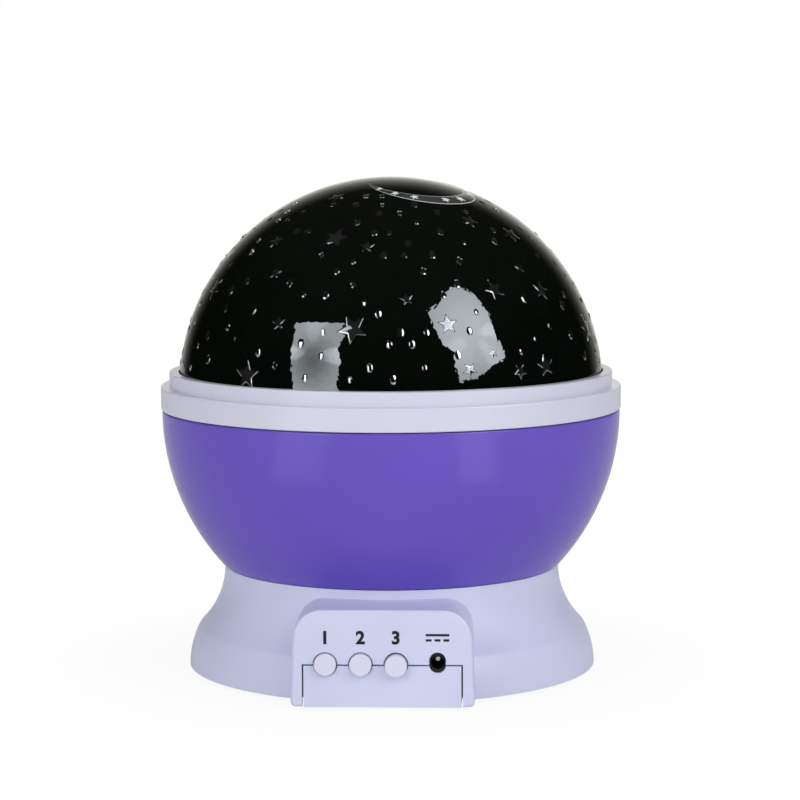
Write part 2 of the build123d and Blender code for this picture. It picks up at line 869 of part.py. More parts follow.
with BuildPart() as led_board:
    with BuildSketch(Plane.XY.offset(led_board_bottom)):
        Circle(led_board_r)
    extrude(amount=led_board_t)
save(led_board, "led_board")

for number, led_name in enumerate(led_names):
    led_x, led_y = polar(led_circle_r, 45 + 90 * number)
    with BuildPart() as led:
        with BuildSketch(Plane.XY.offset(led_board_top)):
            with Locations((led_x, led_y)):
                Circle(led_flange_r)
        extrude(amount=led_flange_t)
        with BuildSketch(Plane.XY.offset(led_board_top)):
            with Locations((led_x, led_y)):
                Circle(led_r)
        extrude(amount=led_height)
        fillet(edges().sort_by(Axis.Z)[-1], 0.9 * led_r)
    save(led, led_name)

# ---------------------------------------------------------------- bearing pieces
with BuildPart() as thrust_washer:
    with BuildSketch(Plane.XY.offset(bowl_bottom - washer_t)):
        Circle(washer_r)
        Circle(collar_r + 0.1, mode=Mode.SUBTRACT)
    extrude(amount=washer_t)
save(thrust_washer, "thrust_washer")

with BuildPart() as retaining_clip:
    with BuildSketch(Plane.XY.offset(hub_top + clip_gap)):
        Circle(clip_r)
        Circle(collar_r - clip_groove + clip_fit, mode=Mode.SUBTRACT)
        with BuildLine():
            mouth = math.radians(clip_mouth_deg / 2)
            far_x = 2 * clip_r * math.cos(mouth)
            far_y = 2 * clip_r * math.sin(mouth)
            Polyline((0, 0), (far_x, far_y), (far_x, -far_y), close=True)
        make_face(mode=Mode.SUBTRACT)
    extrude(amount=clip_t)
save(retaining_clip, "retaining_clip")


# ================================================================ gears
def tooth_half_angle(radius, pitch_r, teeth, inner=False):
    """Half angle of an involute tooth (or of an internal gear's space)."""
    base_r = pitch_r * math.cos(math.radians(pressure_angle))
    share = 1 - tooth_share if inner else tooth_share
    half_at_pitch = math.pi * share / teeth

    def involute(r):
        angle = math.acos(min(1.0, base_r / r))
        return math.tan(angle) - angle

    return half_at_pitch + involute(pitch_r) - involute(max(radius, base_r))


def gear_points(teeth, module, turn, inner=False):
    """Outline of a gear; for an internal gear, the outline of its hollow."""
    pitch_r = teeth * module / 2
    if inner:
        low = pitch_r - module
        high = pitch_r + 1.25 * module
    else:
        low = pitch_r - 1.25 * module
        high = pitch_r + module
    radii = (low, pitch_r, high)
    points = []
    for i in range(teeth):
        middle = math.radians(turn) + 2 * math.pi * i / teeth
        halves = [tooth_half_angle(r, pitch_r, teeth, inner) for r in radii]
        flank = list(zip(radii, halves))
        for r, half in flank:
            points.append((r * math.cos(middle - half), r * math.sin(middle - half)))
        for r, half in reversed(flank):
            points.append((r * math.cos(middle + half), r * math.sin(middle + half)))
    return points


with BuildPart() as idler_gear:
    with BuildSketch(Plane.XY.offset(wheel_bottom)):
        with Locations(idler_xy):
            Polygon(*gear_points(idler_wheel_teeth, drive_module, motor_bearing), align=None)
    extrude(amount=wheel_height)
    with BuildSketch(Plane.XY.offset(wheel_top)):
        with Locations(idler_xy):
            Polygon(*gear_points(idler_pinion_teeth, ring_module, idler_angle), align=None)
    extrude(amount=idler_pinion_height)
    with BuildSketch(Plane.XY.offset(wheel_bottom)):
        with Locations(idler_xy):
            Circle(axle_r + axle_clearance)
    extrude(amount=idler_top - wheel_bottom, mode=Mode.SUBTRACT)
save(idler_gear, "idler_gear")

with BuildPart() as idler_axle:
    with BuildSketch(Plane.XY.offset(deck_bottom)):
        with Locations(idler_xy):
            Circle(axle_r)
    extrude(amount=axle_top - deck_bottom)
save(idler_axle, "idler_axle")

with BuildPart() as idler_circlip:
    with BuildSketch(Plane.XY.offset(idler_top + circlip_gap)):
        with Locations(idler_xy):
            Circle(circlip_r)
            Circle(axle_r, mode=Mode.SUBTRACT)
    extrude(amount=circlip_t)
save(idler_circlip, "idler_circlip")

pinion_turn = motor_bearing + 180 + 180 / motor_pinion_teeth
with BuildPart() as motor_pinion:
    with BuildSketch(Plane.XY.offset(wheel_bottom)):
        with Locations(motor_xy):
            Polygon(*gear_points(motor_pinion_teeth, drive_module, pinion_turn), align=None)
            Circle(axle_r, mode=Mode.SUBTRACT)
    extrude(amount=wheel_height)
save(motor_pinion, "motor_pinion")

chamber_bottom = motor_bottom + motor_wall
chamber_top = deck_bottom - motor_plate_t
with BuildPart() as motor_can:
    with BuildSketch(Plane.XY.offset(motor_bottom)):
        with Locations(motor_xy):
            Circle(motor_r)
    extrude(amount=motor_height)
    fillet(edges().sort_by(Axis.Z)[0], 1.0)
    with BuildSketch(Plane.XY.offset(deck_bottom)):
        with Locations(motor_xy):
            Circle(motor_nose_r)
    extrude(amount=motor_nose_height)
    with BuildSketch(Plane.XY.offset(chamber_bottom)):
        with Locations(motor_xy):
            Circle(motor_r - 3 * motor_wall)
    extrude(amount=chamber_top - chamber_bottom, mode=Mode.SUBTRACT)
    with BuildSketch(Plane.XY.offset(chamber_top)):
        with Locations(motor_xy):
            Circle(axle_r + axle_clearance)
    extrude(amount=motor_plate_t + motor_nose_height, mode=Mode.SUBTRACT)
    with BuildSketch(Plane.XY.offset(deck_bottom)):
        with Locations(*motor_screw_places):
            Circle(small_bore_r)
    extrude(amount=-(motor_plate_t - 0.4), mode=Mode.SUBTRACT)
save(motor_can, "motor_can")

with BuildPart() as motor_shaft:
    with BuildSketch(Plane.XY.offset(chamber_bottom + armature_clearance / 2)):
        with Locations(motor_xy):
            Circle(motor_r - 3 * motor_wall - armature_clearance)
    extrude(amount=chamber_top - chamber_bottom - armature_clearance)
    with BuildSketch(Plane.XY.offset(chamber_bottom + armature_clearance / 2)):
        with Locations(motor_xy):
            Circle(axle_r)
    extrude(amount=wheel_top - chamber_bottom)
save(motor_shaft, "motor_shaft")

with BuildPart() as motor_screws:
    with BuildSketch(Plane.XY.offset(base_top)):
        with Locations(*motor_screw_places):
            Circle(small_head_r)
    extrude(amount=small_head_t)
    with BuildSketch(Plane.XY.offset(base_top)):
        with Locations(*motor_screw_places):
            Circle(small_shank_r)
    extrude(amount=-(deck_t + motor_plate_t - 1.0))
save(motor_screws, "motor_screws")


# ================================================================ leads
def bend_radii(points):
    """Radius of each bend of a lead: as large as its two runs allow."""
    radii = []
    for before, corner, after in zip(points, points[1:], points[2:]):
        run_in = Vector(*corner) - Vector(*before)
        run_out = Vector(*after) - Vector(*corner)
        half_turn = math.radians(run_in.get_angle(run_out)) / 2
        radii.append(0.45 * min(run_in.length, run_out.length) / math.tan(half_turn))
    return radii


lead_end_y = board_back_y + lead_end_gap
led_lead_xs = (-2.6, 0.0, 2.6)
led_lead_routes = [
    [
        (x, -2.0, led_board_bottom - lead_end_gap),
        (x, -1.4, led_board_bottom - 26.0),
        (x, -2.4, deck_bottom + 6.0),
        (x, -6.6, deck_bottom - 4.5),
        (x, -16.0, deck_bottom - 8.0),
        (x, -32.0, deck_bottom - 7.4),
        (x, lead_end_y, deck_bottom - 8.2),
    ]
    for x in led_lead_xs
]
motor_side_y = motor_xy[1] - motor_r - lead_end_gap
motor_lead_routes = [
    [
        (x, motor_side_y, deck_bottom - 6.0),
        (x - 0.8, motor_side_y - 14.0, deck_bottom - 6.6),
        (x + 0.6, motor_side_y - 32.0, deck_bottom - 7.6),
        (x - 0.3, motor_side_y - 48.0, deck_bottom - 10.4),
        (x - 0.3, lead_end_y, deck_bottom - 11.0),
    ]
    for x in (motor_xy[0], motor_xy[0] + 2.4)
]
bay_face_y = bay_front - bay_end_wall - lead_end_gap
battery_lead_routes = [
    [
        (x, bay_face_y, cell_axis_z),
        (x + 0.9, bay_face_y - 9.0, cell_axis_z - 0.5),
        (x - 0.4, bay_face_y - 18.5, cell_axis_z + 0.6),
        (x, lead_end_y, cell_axis_z + 0.2),
    ]
    for x in (-8.0, 8.0)
]
lead_sets = {
    "led_leads": led_lead_routes,
    "motor_leads": motor_lead_routes,
    "battery_leads": battery_lead_routes,
}
for lead_name, routes in lead_sets.items():
    with BuildPart() as leads:
        for points in routes:
            radii = bend_radii(points)
            print(lead_name, "bend radii", [round(r, 1) for r in radii])
            with BuildLine():
                route = FilletPolyline(*points, radius=radii)
            with BuildSketch(Plane(origin=route @ 0, z_dir=route % 0)):
                Circle(wire_r)
            sweep(path=route)
    save(leads, lead_name)

# ================================================================ globe
wall_r = bowl_sphere_r - bowl_wall
floor_top = bowl_bottom + bowl_wall
pocket_r = ring_gear_r + pocket_clearance
ledge_r = tongue_r - tongue_wall - ledge_width
ledge_z = tongue_top - ledge_drop
ledge_foot_z = bowl_centre_z - 2 * ledge_width


def sphere_point(radius, z):
    """Point of the bowl's half section at a height."""
    return (math.sqrt(radius ** 2 - (z - bowl_centre_z) ** 2), z)


with BuildPart() as bowl:
    with BuildSketch(Plane.XZ):
        outer_low = sphere_point(bowl_sphere_r, bowl_bottom)
        outer_mid = sphere_point(bowl_sphere_r, (bowl_bottom + bowl_rim) / 2)
        outer_high = sphere_point(bowl_sphere_r, bowl_rim)
        inner_high = sphere_point(wall_r, ledge_foot_z)
        inner_mid = sphere_point(wall_r, (floor_top + ledge_foot_z) / 2)
        inner_low = sphere_point(wall_r, floor_top)
        hub_r = collar_r + hub_clearance
        with BuildLine():
            Polyline(
                (hub_r, hub_top),
                (hub_r, bowl_bottom),
                (hub_r + hub_wall, bowl_bottom),
                (hub_r + hub_wall, pocket_top),
                (pocket_r, pocket_top),
                (pocket_r, bowl_bottom),
                outer_low,
            )
            ThreePointArc(outer_low, outer_mid, outer_high)
            Polyline(
                outer_high,
                (tongue_r, bowl_rim),
                (tongue_r, tongue_top),
                (tongue_r - tongue_wall, tongue_top),
                (tongue_r - tongue_wall, ledge_z),
                (ledge_r, ledge_z),
                (ledge_r, ledge_z - ledge_width),
                inner_high,
            )
            ThreePointArc(inner_high, inner_mid, inner_low)
            Polyline(
                inner_low,
                (pocket_r + pocket_wall, floor_top),
                (pocket_r + pocket_wall, pocket_top + pocket_wall),
                (hub_r + hub_wall, pocket_top + pocket_wall),
                (hub_r + hub_wall, hub_top),
                (hub_r, hub_top),
            )
        make_face()
        outer_rim = vertices().sort_by_distance((outer_high[0], outer_high[1], 0))[0]
        fillet(outer_rim, bowl_rim_fillet)
    revolve(axis=Axis.Z)
    with BuildSketch(Plane.XY.offset(pocket_top + pocket_wall)):
        with PolarLocations(ring_screw_circle_r, 3):
            Circle(ring_screw_boss_r)
    extrude(amount=ring_screw_boss_height)
    with BuildSketch(Plane.XY.offset(pocket_top)):
        with PolarLocations(ring_screw_circle_r, 3):
            Circle(small_bore_r)
    extrude(amount=pocket_wall + ring_screw_boss_height - 1.0, mode=Mode.SUBTRACT)
save(bowl, "bowl")

with BuildPart() as ring_gear:
    space_turn = idler_angle
    with BuildSketch(Plane.XY.offset(pocket_top - ring_gear_height)):
        Circle(ring_gear_r)
        hollow = gear_points(ring_teeth, ring_module, space_turn, inner=True)
        Polygon(*hollow, align=None, mode=Mode.SUBTRACT)
        with PolarLocations(ring_screw_circle_r, 3):
            Circle(small_shank_r + 0.15, mode=Mode.SUBTRACT)
    extrude(amount=ring_gear_height)
    with BuildSketch(Plane.XY.offset(pocket_top - ring_gear_height)):
        with PolarLocations(ring_screw_circle_r, 3):
            Circle(small_head_r + 0.1)
    extrude(amount=small_head_t + 0.1, mode=Mode.SUBTRACT)
save(ring_gear, "ring_gear")

with BuildPart() as ring_gear_screws:
    with BuildSketch(Plane.XY.offset(pocket_top - ring_gear_height + 0.1)):
        with PolarLocations(ring_screw_circle_r, 3):
            Circle(small_head_r)
    extrude(amount=small_head_t)
    with BuildSketch(Plane.XY.offset(pocket_top - ring_gear_height + 0.1 + small_head_t)):
        with PolarLocations(ring_screw_circle_r, 3):
            Circle(small_shank_r)
    extrude(amount=ring_gear_height + pocket_wall + ring_screw_boss_height - 3.5)
save(ring_gear_screws, "ring_gear_screws")

with BuildPart() as lower_ring:
    with BuildSketch(Plane.XZ):
        with BuildLine():
            Polyline(
                (tongue_r + ring_fit, ring_bottom),
                (lower_ring_r, ring_bottom),
                (lower_ring_r, ring_top),
                (ring_bore_r, ring_top),
                (ring_bore_r, tongue_top),
                (tongue_r + ring_fit, tongue_top),
                close=True,
            )
        make_face()
        outer_corners = vertices().group_by(Axis.X)[-1]
        fillet(outer_corners, ring_edge_fillet)
    revolve(axis=Axis.Z)
save(lower_ring, "lower_ring")

rim_r = tongue_r - tongue_wall - 0.2
rim_inner_r = rim_r - deck_rim_width
with BuildPart() as reflector_deck:
    with BuildSketch(Plane.XZ):
        low_z = ledge_z - deck_slope_drop
        with BuildLine():
            Polyline(
                (rim_r, ledge_z),
                (rim_r, ledge_z + deck_plate_t),
                (rim_inner_r, ledge_z + deck_plate_t),
                (rim_inner_r - 1.9, ledge_z - 0.3),
                (deck_hole_r, low_z + deck_plate_t),
                (deck_hole_r, low_z),
                (rim_inner_r - 1.9, ledge_z - 0.3 - deck_plate_t),
                (rim_inner_r, ledge_z),
                close=True,
            )
        make_face()
    revolve(axis=Axis.Z)
save(reflector_deck, "reflector_deck")

# ================================================================ dome
spigot_r = ring_bore_r - spigot_clearance
with BuildPart() as dome_ring:
    with BuildSketch(Plane.XZ):
        with BuildLine():
            Polyline(
                (spigot_r - spigot_wall, ring_top - spigot_depth),
                (spigot_r, ring_top - spigot_depth),
                (spigot_r, ring_top),
                (dome_ring_r, ring_top),
                (dome_ring_r, ring_top + dome_ring_height),
                (dome_r + dome_fit, ring_top + dome_ring_height),
                (dome_r + dome_fit, shelf_top),
                (spigot_r - spigot_wall, shelf_top),
                close=True,
            )
        make_face()
        crown = vertices().group_by(Axis.Y)[-1].sort_by(Axis.X)[-1]
        fillet(crown, dome_ring_fillet)
    revolve(axis=Axis.Z)
save(dome_ring, "dome_ring")


def dome_skin(outer_r, thickness, bottom):
    """Half section of a spherical skin that stands on a flat rim."""
    inner_r = outer_r - thickness
    rise = bottom - dome_centre_z
    outer_foot = (math.sqrt(outer_r ** 2 - rise ** 2), bottom)
    inner_foot = (math.sqrt(inner_r ** 2 - rise ** 2), bottom)
    half = math.radians(45)
    with BuildSketch() as outline:
        with BuildLine():
            ThreePointArc(
                outer_foot,
                (outer_r * math.cos(half), dome_centre_z + outer_r * math.sin(half)),
                (0, dome_centre_z + outer_r),
            )
            Line((0, dome_centre_z + outer_r), (0, dome_centre_z + inner_r))
            ThreePointArc(
                (0, dome_centre_z + inner_r),
                (inner_r * math.cos(half), dome_centre_z + inner_r * math.sin(half)),
                inner_foot,
            )
            Line(inner_foot, outer_foot)
        make_face()
    return outline.sketch_local


with BuildPart() as star_dome:
    with BuildSketch(Plane.XZ):
        add(dome_skin(dome_r, dome_wall, shelf_top))
    revolve(axis=Axis.Z)
save(star_dome, "star_dome")


def sky_plane(azimuth, elevation):
    """Plane just outside the mask, facing outwards, its Y axis uphill."""
    turn = math.radians(azimuth)
    tilt = math.radians(elevation)
    outwards = Vector(
        math.cos(tilt) * math.sin(turn),
        -math.cos(tilt) * math.cos(turn),
        math.sin(tilt),
    )
    centre = Vector(0, 0, dome_centre_z)
    return Plane(
        origin=centre + outwards * (mask_r + mask_gap),
        x_dir=(math.cos(turn), math.sin(turn), 0),
        z_dir=outwards,
    )


def star_points(tip_r, turn):
    """Corners of a five-pointed star with one tip up before its turn."""
    corners = []
    for i in range(10):
        r = tip_r if i % 2 == 0 else tip_r * star_waist
        corners.append(polar(r, 90 + turn + 36 * i))
    return corners


mask_r = dome_r - dome_wall - mask_gap
with BuildPart() as star_mask:
    with BuildSketch(Plane.XZ):
        add(dome_skin(mask_r, mask_t, shelf_top + mask_gap))
    revolve(axis=Axis.Z)
    for half in (0, 180):
        for azimuth, elevation, tip_r, turn in star_windows:
            with BuildSketch(sky_plane(azimuth + half, elevation)):
                Polygon(*star_points(tip_r, turn), align=None)
        for row, (elevation, azimuths) in enumerate(dot_windows):
            widening = (dot_top_half_width - dot_low_half_width) * elevation / 90
            dot_half_width = dot_low_half_width + widening
            for i, azimuth in enumerate(azimuths):
                scale = dot_scales[(row + i) % len(dot_scales)]
                with BuildSketch(sky_plane(azimuth + half, elevation)):
                    Ellipse(scale * dot_half_width, scale * dot_half_height)
    extrude(amount=-(mask_t + 2 * mask_gap + 0.1), mode=Mode.SUBTRACT)
    with BuildSketch(sky_plane(moon_azimuth, moon_elevation)):
        Circle(moon_r)
        with Locations(polar(moon_bite_shift, 90)):
            Circle(moon_bite_r, mode=Mode.SUBTRACT)
    extrude(amount=-5, mode=Mode.SUBTRACT)
save(star_mask, "star_mask")
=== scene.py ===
import math
import random

import bmesh
import bpy
from mathutils import Matrix, Vector, geometry


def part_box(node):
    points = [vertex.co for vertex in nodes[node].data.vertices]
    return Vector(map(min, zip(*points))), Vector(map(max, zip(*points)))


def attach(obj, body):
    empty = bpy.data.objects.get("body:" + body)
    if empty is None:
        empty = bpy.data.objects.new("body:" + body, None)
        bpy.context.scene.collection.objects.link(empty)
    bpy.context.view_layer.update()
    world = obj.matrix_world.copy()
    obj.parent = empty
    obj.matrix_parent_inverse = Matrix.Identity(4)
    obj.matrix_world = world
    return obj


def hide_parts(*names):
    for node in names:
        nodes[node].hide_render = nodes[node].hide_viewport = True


# Star night light projector: a lavender base with a button panel, a purple bowl that
# turns on it, and a black dome with clear star, dot and crescent windows.
# Metres, +Z up, the panel faces -Y. Angles are in degrees.

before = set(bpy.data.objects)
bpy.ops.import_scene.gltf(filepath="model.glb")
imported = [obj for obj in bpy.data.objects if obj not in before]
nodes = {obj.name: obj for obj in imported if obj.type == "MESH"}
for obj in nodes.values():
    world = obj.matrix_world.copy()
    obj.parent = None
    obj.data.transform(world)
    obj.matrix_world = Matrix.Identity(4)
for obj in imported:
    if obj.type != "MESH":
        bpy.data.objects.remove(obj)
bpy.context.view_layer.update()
MM = 0.001

# ---------------------------------------------------------------- sizes
DOME_R = 58.0 * MM
DOME_WALL = 1.5 * MM
STAR_POINTS = 5
STAR_WAIST = 0.42
DOT_HALF_HEIGHT = 1.3 * MM
DOT_LOW_HALF_WIDTH = 0.8 * MM
DOT_TOP_HALF_WIDTH = 1.25 * MM
DOT_SCALES = (1.0, 0.85, 0.95, 0.7)
MOON_AZIMUTH = 43.0
MOON_ELEVATION = 76.5
MOON_R = 14.7 * MM
MOON_BITE_R = 13.0 * MM
MOON_BITE_SHIFT = 2.9 * MM

dome_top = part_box("star_dome")[1].z
dome_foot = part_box("star_dome")[0].z
dome_centre = Vector((0, 0, dome_top - DOME_R))

# Star windows of half the dome: azimuth from the panel side towards +X, elevation,
# tip radius in millimetres, turn. The other half repeats them.
STAR_WINDOWS = (
    (-74, 40, 3.0, 15),
    (-66, 30, 3.6, 40),
    (-46, 46, 2.4, 20),
    (-37, 36, 2.0, 0),
    (-35, 66, 2.6, 50),
    (-30, 22, 2.2, 10),
    (-38, 8, 4.4, 0),
    (-19, 48, 4.0, 62),
    (-8, 21, 4.4, 30),
    (-6, 45, 2.2, 0),
    (7, 29, 2.0, 12),
    (18, 22, 2.9, 5),
    (23, 10, 2.2, 180),
    (30, 14, 1.6, 25),
    (35, 31, 3.2, 20),
    (38, 9, 2.4, 180),
    (40, 54, 2.6, 35),
    (47, 10, 3.4, 8),
    (49, 37, 1.8, 0),
    (54, 30, 3.0, 55),
    (58, 48, 3.2, 20),
    (74, 18, 4.2, 10),
    (83, 43, 2.8, 30),
    (89, 11, 2.6, 55),
    (92, 28, 3.4, 18),
    (97, 57, 2.4, 5),
)
# Dot windows of the same half: elevation, then the azimuths at it.
DOT_WINDOWS = (
    (67, (-14, -3)),
    (62, (-31, -17, -2, 16, 68, 80, 113)),
    (58, (-61, -46, -3, 7, 26, 43, 72, 108)),
    (54, (-69, -59, -51, -12, 14, 86)),
    (50, (-39, -33, -4, 2, 23, 49, 72, 103)),
    (46, (-58, 9, 31, 45, 72, 95)),
    (42, (-56, -22, 0, 7, 17, 100)),
    (40, (-10, 26, 63, 91)),
    (37, (-64, -15, 13, 75, 84, 96)),
    (33, (-48, -30, -9, 23, 78, 104)),
    (30, (-54, -24, -17, 18, 84)),
    (28, (-5, 45, 66, 99)),
    (25, (-53, -40, -1, 27, 62, 82, 105)),
    (20, (-72, -49, -16, 5, 12, 24, 52, 86, 97)),
    (17, (-58, -45, -22, 2, 8, 45, 61, 93, 101)),
    (14, (-63, -35, -16, 20, 39, 82)),
    (11, (-55, -29, -3, 11, 67, 78, 99)),
    (8, (-66, -20, -8, 3, 82, 95, 105)),
)


# ---------------------------------------------------------------- camera
LENS_MM = 117.0
SENSOR_MM = 36.0
CLIP_START = 50 * MM
CAMERA_DISTANCE = 711 * MM
CAMERA_HEIGHT = 150.9 * MM
CAMERA_AZIMUTH = 2.4
CAMERA_PITCH = 6.25
CAMERA_AIM_RIGHT = 0.223
CAMERA_ROLL = 0.22


def make_camera():
    data = bpy.data.cameras.new("camera")
    data.lens = LENS_MM
    data.sensor_width = SENSOR_MM
    data.clip_start = CLIP_START
    camera = bpy.data.objects.new("camera", data)
    bpy.context.scene.collection.objects.link(camera)
    azimuth = math.radians(CAMERA_AZIMUTH)
    camera.location = (
        CAMERA_DISTANCE * math.sin(azimuth),
        -CAMERA_DISTANCE * math.cos(azimuth),
        CAMERA_HEIGHT,
    )
    camera.rotation_euler = (
        math.radians(90 - CAMERA_PITCH),
        math.radians(CAMERA_ROLL),
        math.radians(CAMERA_AZIMUTH - CAMERA_AIM_RIGHT),
    )
    bpy.context.scene.camera = camera


make_camera()


# ---------------------------------------------------------------- node helpers
WHITE = (1.0, 1.0, 1.0, 1.0)
# Values between which nearly all of a noise lies.
NOISE_SPREAD = (0.3, 0.7)


class Nodes:
    """A node tree with short calls for adding and joining nodes."""

    def __init__(self, tree):
        self.tree = tree
        tree.nodes.clear()

    def add(self, kind, **settings):
        node = self.tree.nodes.new(kind)
        for key, value in settings.items():
            setattr(node, key, value)
        return node

    def link(self, source, target):
        self.tree.links.new(source, target)

    def feed(self, socket, value):
        """A number, a colour or another node's output into a socket."""
        if isinstance(value, bpy.types.NodeSocket):
            self.link(value, socket)
        else:
            socket.default_value = value

    def place(self):
        return self.add("ShaderNodeTexCoord").outputs["Object"]

    def noise(self, scale, detail=2.0):
        node = self.add("ShaderNodeTexNoise")
        node.inputs["Scale"].default_value = scale
        node.inputs["Detail"].default_value = detail
        self.link(self.place(), node.inputs["Vector"])
        return node.outputs["Fac"]

    def remap(self, value, low, high, to_low, to_high, smooth=False):
        node = self.add("ShaderNodeMapRange")
        if smooth:
            node.interpolation_type = "SMOOTHSTEP"
        self.link(value, node.inputs["Value"])
        for key, number in zip(
            ("From Min", "From Max", "To Min", "To Max"), (low, high, to_low, to_high)
        ):
            node.inputs[key].default_value = number
        return node.outputs["Result"]

    def clouds(self, scale, detail, low, high):
        """Noise that wanders from one value to another."""
        return self.remap(self.noise(scale, detail), *NOISE_SPREAD, low, high)

    def math(self, operation, a, b=0.0):
        node = self.add("ShaderNodeMath", operation=operation)
        self.feed(node.inputs[0], a)
        self.feed(node.inputs[1], b)
        return node.outputs["Value"]

    def mix(self, factor, a, b):
        node = self.add("ShaderNodeMix", data_type="RGBA")
        self.feed(node.inputs["Factor"], factor)
        self.feed(node.inputs[6], a)
        self.feed(node.inputs[7], b)
        return node.outputs[2]

    def bump(self, height, distance, strength=1.0, normal=None):
        node = self.add("ShaderNodeBump")
        node.inputs["Strength"].default_value = strength
        node.inputs["Distance"].default_value = distance
        self.link(height, node.inputs["Height"])
        if normal is not None:
            self.link(normal, node.inputs["Normal"])
        return node.outputs["Normal"]

    def split(self, vector):
        node = self.add("ShaderNodeSeparateXYZ")
        self.link(vector, node.inputs["Vector"])
        return node.outputs

    def length(self, x, y):
        squares = [self.math("MULTIPLY", side, side) for side in (x, y)]
        return self.math("SQRT", self.math("ADD", *squares))

    def emission(self, strength, colour=WHITE):
        node = self.add("ShaderNodeEmission")
        self.feed(node.inputs["Strength"], strength)
        node.inputs["Color"].default_value = colour
        return node.outputs["Emission"]

    def show(self, surface, output="ShaderNodeOutputMaterial"):
        self.link(surface, self.add(output).inputs["Surface"])


def rgba(colour, share=1.0):
    return (colour[0] * share, colour[1] * share, colour[2] * share, 1.0)


def new_material(name):
    material = bpy.data.materials.new(name)
    material.use_nodes = True
    return material, Nodes(material.node_tree)


def finish_surface(tree, sockets):
    """Principled shader with these sockets, joined to the output."""
    shader = tree.add("ShaderNodeBsdfPrincipled")
    for key, value in sockets.items():
        tree.feed(shader.inputs[key], value)
    tree.show(shader.outputs["BSDF"])


# ---------------------------------------------------------------- materials
FINE_GRAIN = 1500.0
METAL_GRAIN = 900.0


def moulded(name, colour, roughness, mottle=0.03, grain_depth=0.002 * MM):
    """Moulded plastic: faint mottle, uneven gloss and a fine grain."""
    material, tree = new_material(name)
    tone = tree.add("ShaderNodeVectorMath", operation="SCALE")
    tone.inputs[0].default_value = colour
    tree.link(tree.clouds(35.0, 3.0, 1.0 - mottle, 1.0 + mottle), tone.inputs["Scale"])
    finish_surface(
        tree,
        {
            "Base Color": tone.outputs["Vector"],
            "Roughness": tree.clouds(180.0, 4.0, roughness * 0.88, roughness * 1.12),
            "Normal": tree.bump(tree.noise(FINE_GRAIN), grain_depth),
            "Specular IOR Level": 0.35,
        },
    )
    return material


def metal(name, colour, roughness):
    """Plated metal with fine uneven polish."""
    material, tree = new_material(name)
    cloud = tree.noise(METAL_GRAIN, 5.0)
    light_share = tree.remap(cloud, *NOISE_SPREAD, 0.0, 1.0)
    finish_surface(
        tree,
        {
            "Base Color": tree.mix(light_share, rgba(colour, 0.8), rgba(colour)),
            "Metallic": 1.0,
            "Roughness": tree.remap(cloud, *NOISE_SPREAD, roughness * 0.7, roughness * 1.3),
            "Normal": tree.bump(cloud, 0.002 * MM),
        },
    )
    return material


def by_axis(name, axis, edge, low_colour, high_colour, roughness):
    """Plastic in two colours, parted at a place on one axis."""
    material, tree = new_material(name)
    side = tree.math("GREATER_THAN", tree.split(tree.place())[axis], edge)
    tone = tree.mix(side, rgba(low_colour), rgba(high_colour))
    gloss = tree.clouds(400.0, 3.0, roughness * 0.8, roughness * 1.2)
    finish_surface(tree, {"Base Color": tone, "Roughness": gloss})
    return material


def dome_black():
    """Polished black skin whose surface ripples a little."""
    material, tree = new_material("dome_black")
    ripple = tree.bump(tree.noise(620.0, 1.0), 0.02 * MM)
    waves = tree.bump(tree.noise(55.0, 1.0), 0.02 * MM, normal=ripple)
    tone = tree.mix(
        tree.remap(tree.noise(60.0, 4.0), 0.35, 0.7, 0.0, 1.0),
        rgba((0.0013, 0.0024, 0.0014)),
        rgba((0.0022, 0.0034, 0.0023)),
    )
    finish_surface(
        tree, {"Base Color": tone, "Roughness": 0.012, "IOR": 1.75, "Normal": waves}
    )
    return material


def window_clear(name, grey, coat_ior, transmission):
    """Clear polystyrene of the windows, a little hazy."""
    material, tree = new_material(name)
    tone = (grey, grey, grey)
    finish_surface(
        tree,
        {
            "Base Color": tree.mix(
                tree.clouds(150.0, 3.0, 0.0, 1.0), rgba(tone, 0.7), rgba(tone, 1.3)
            ),
            "Roughness": tree.clouds(500.0, 3.0, 0.01, 0.025),
            "IOR": 1.59,
            "Specular IOR Level": 1.0,
            "Transmission Weight": transmission,
            "Coat Weight": 1.0,
            "Coat IOR": coat_ior,
            "Coat Roughness": 0.015,
            "Normal": tree.bump(tree.noise(FINE_GRAIN), 0.003 * MM),
        },
    )
    return material


CELL_BAND_START = 0.72
CELL_BUTTON = 1.3 * MM
CELL_BASE = 0.3 * MM


def cell_wrap():
    """Plain two-colour battery wrap with bare metal at both ends."""
    material, tree = new_material("cell_wrap")
    low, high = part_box("battery_cells")
    along = tree.split(tree.place())["Y"]
    band = tree.math("GREATER_THAN", along, low.y + CELL_BAND_START * (high.y - low.y))
    wrap = tree.mix(band, rgba((0.02, 0.021, 0.025)), rgba((0.62, 0.3, 0.08)))
    near_end = tree.math("GREATER_THAN", along, high.y - CELL_BUTTON)
    far_end = tree.math("LESS_THAN", along, low.y + CELL_BASE)
    bare = tree.math("MAXIMUM", near_end, far_end)
    finish_surface(
        tree,
        {
            "Base Color": tree.mix(bare, wrap, rgba((0.72, 0.71, 0.68))),
            "Metallic": bare,
            "Roughness": tree.clouds(300.0, 3.0, 0.22, 0.34),
        },
    )
    return material


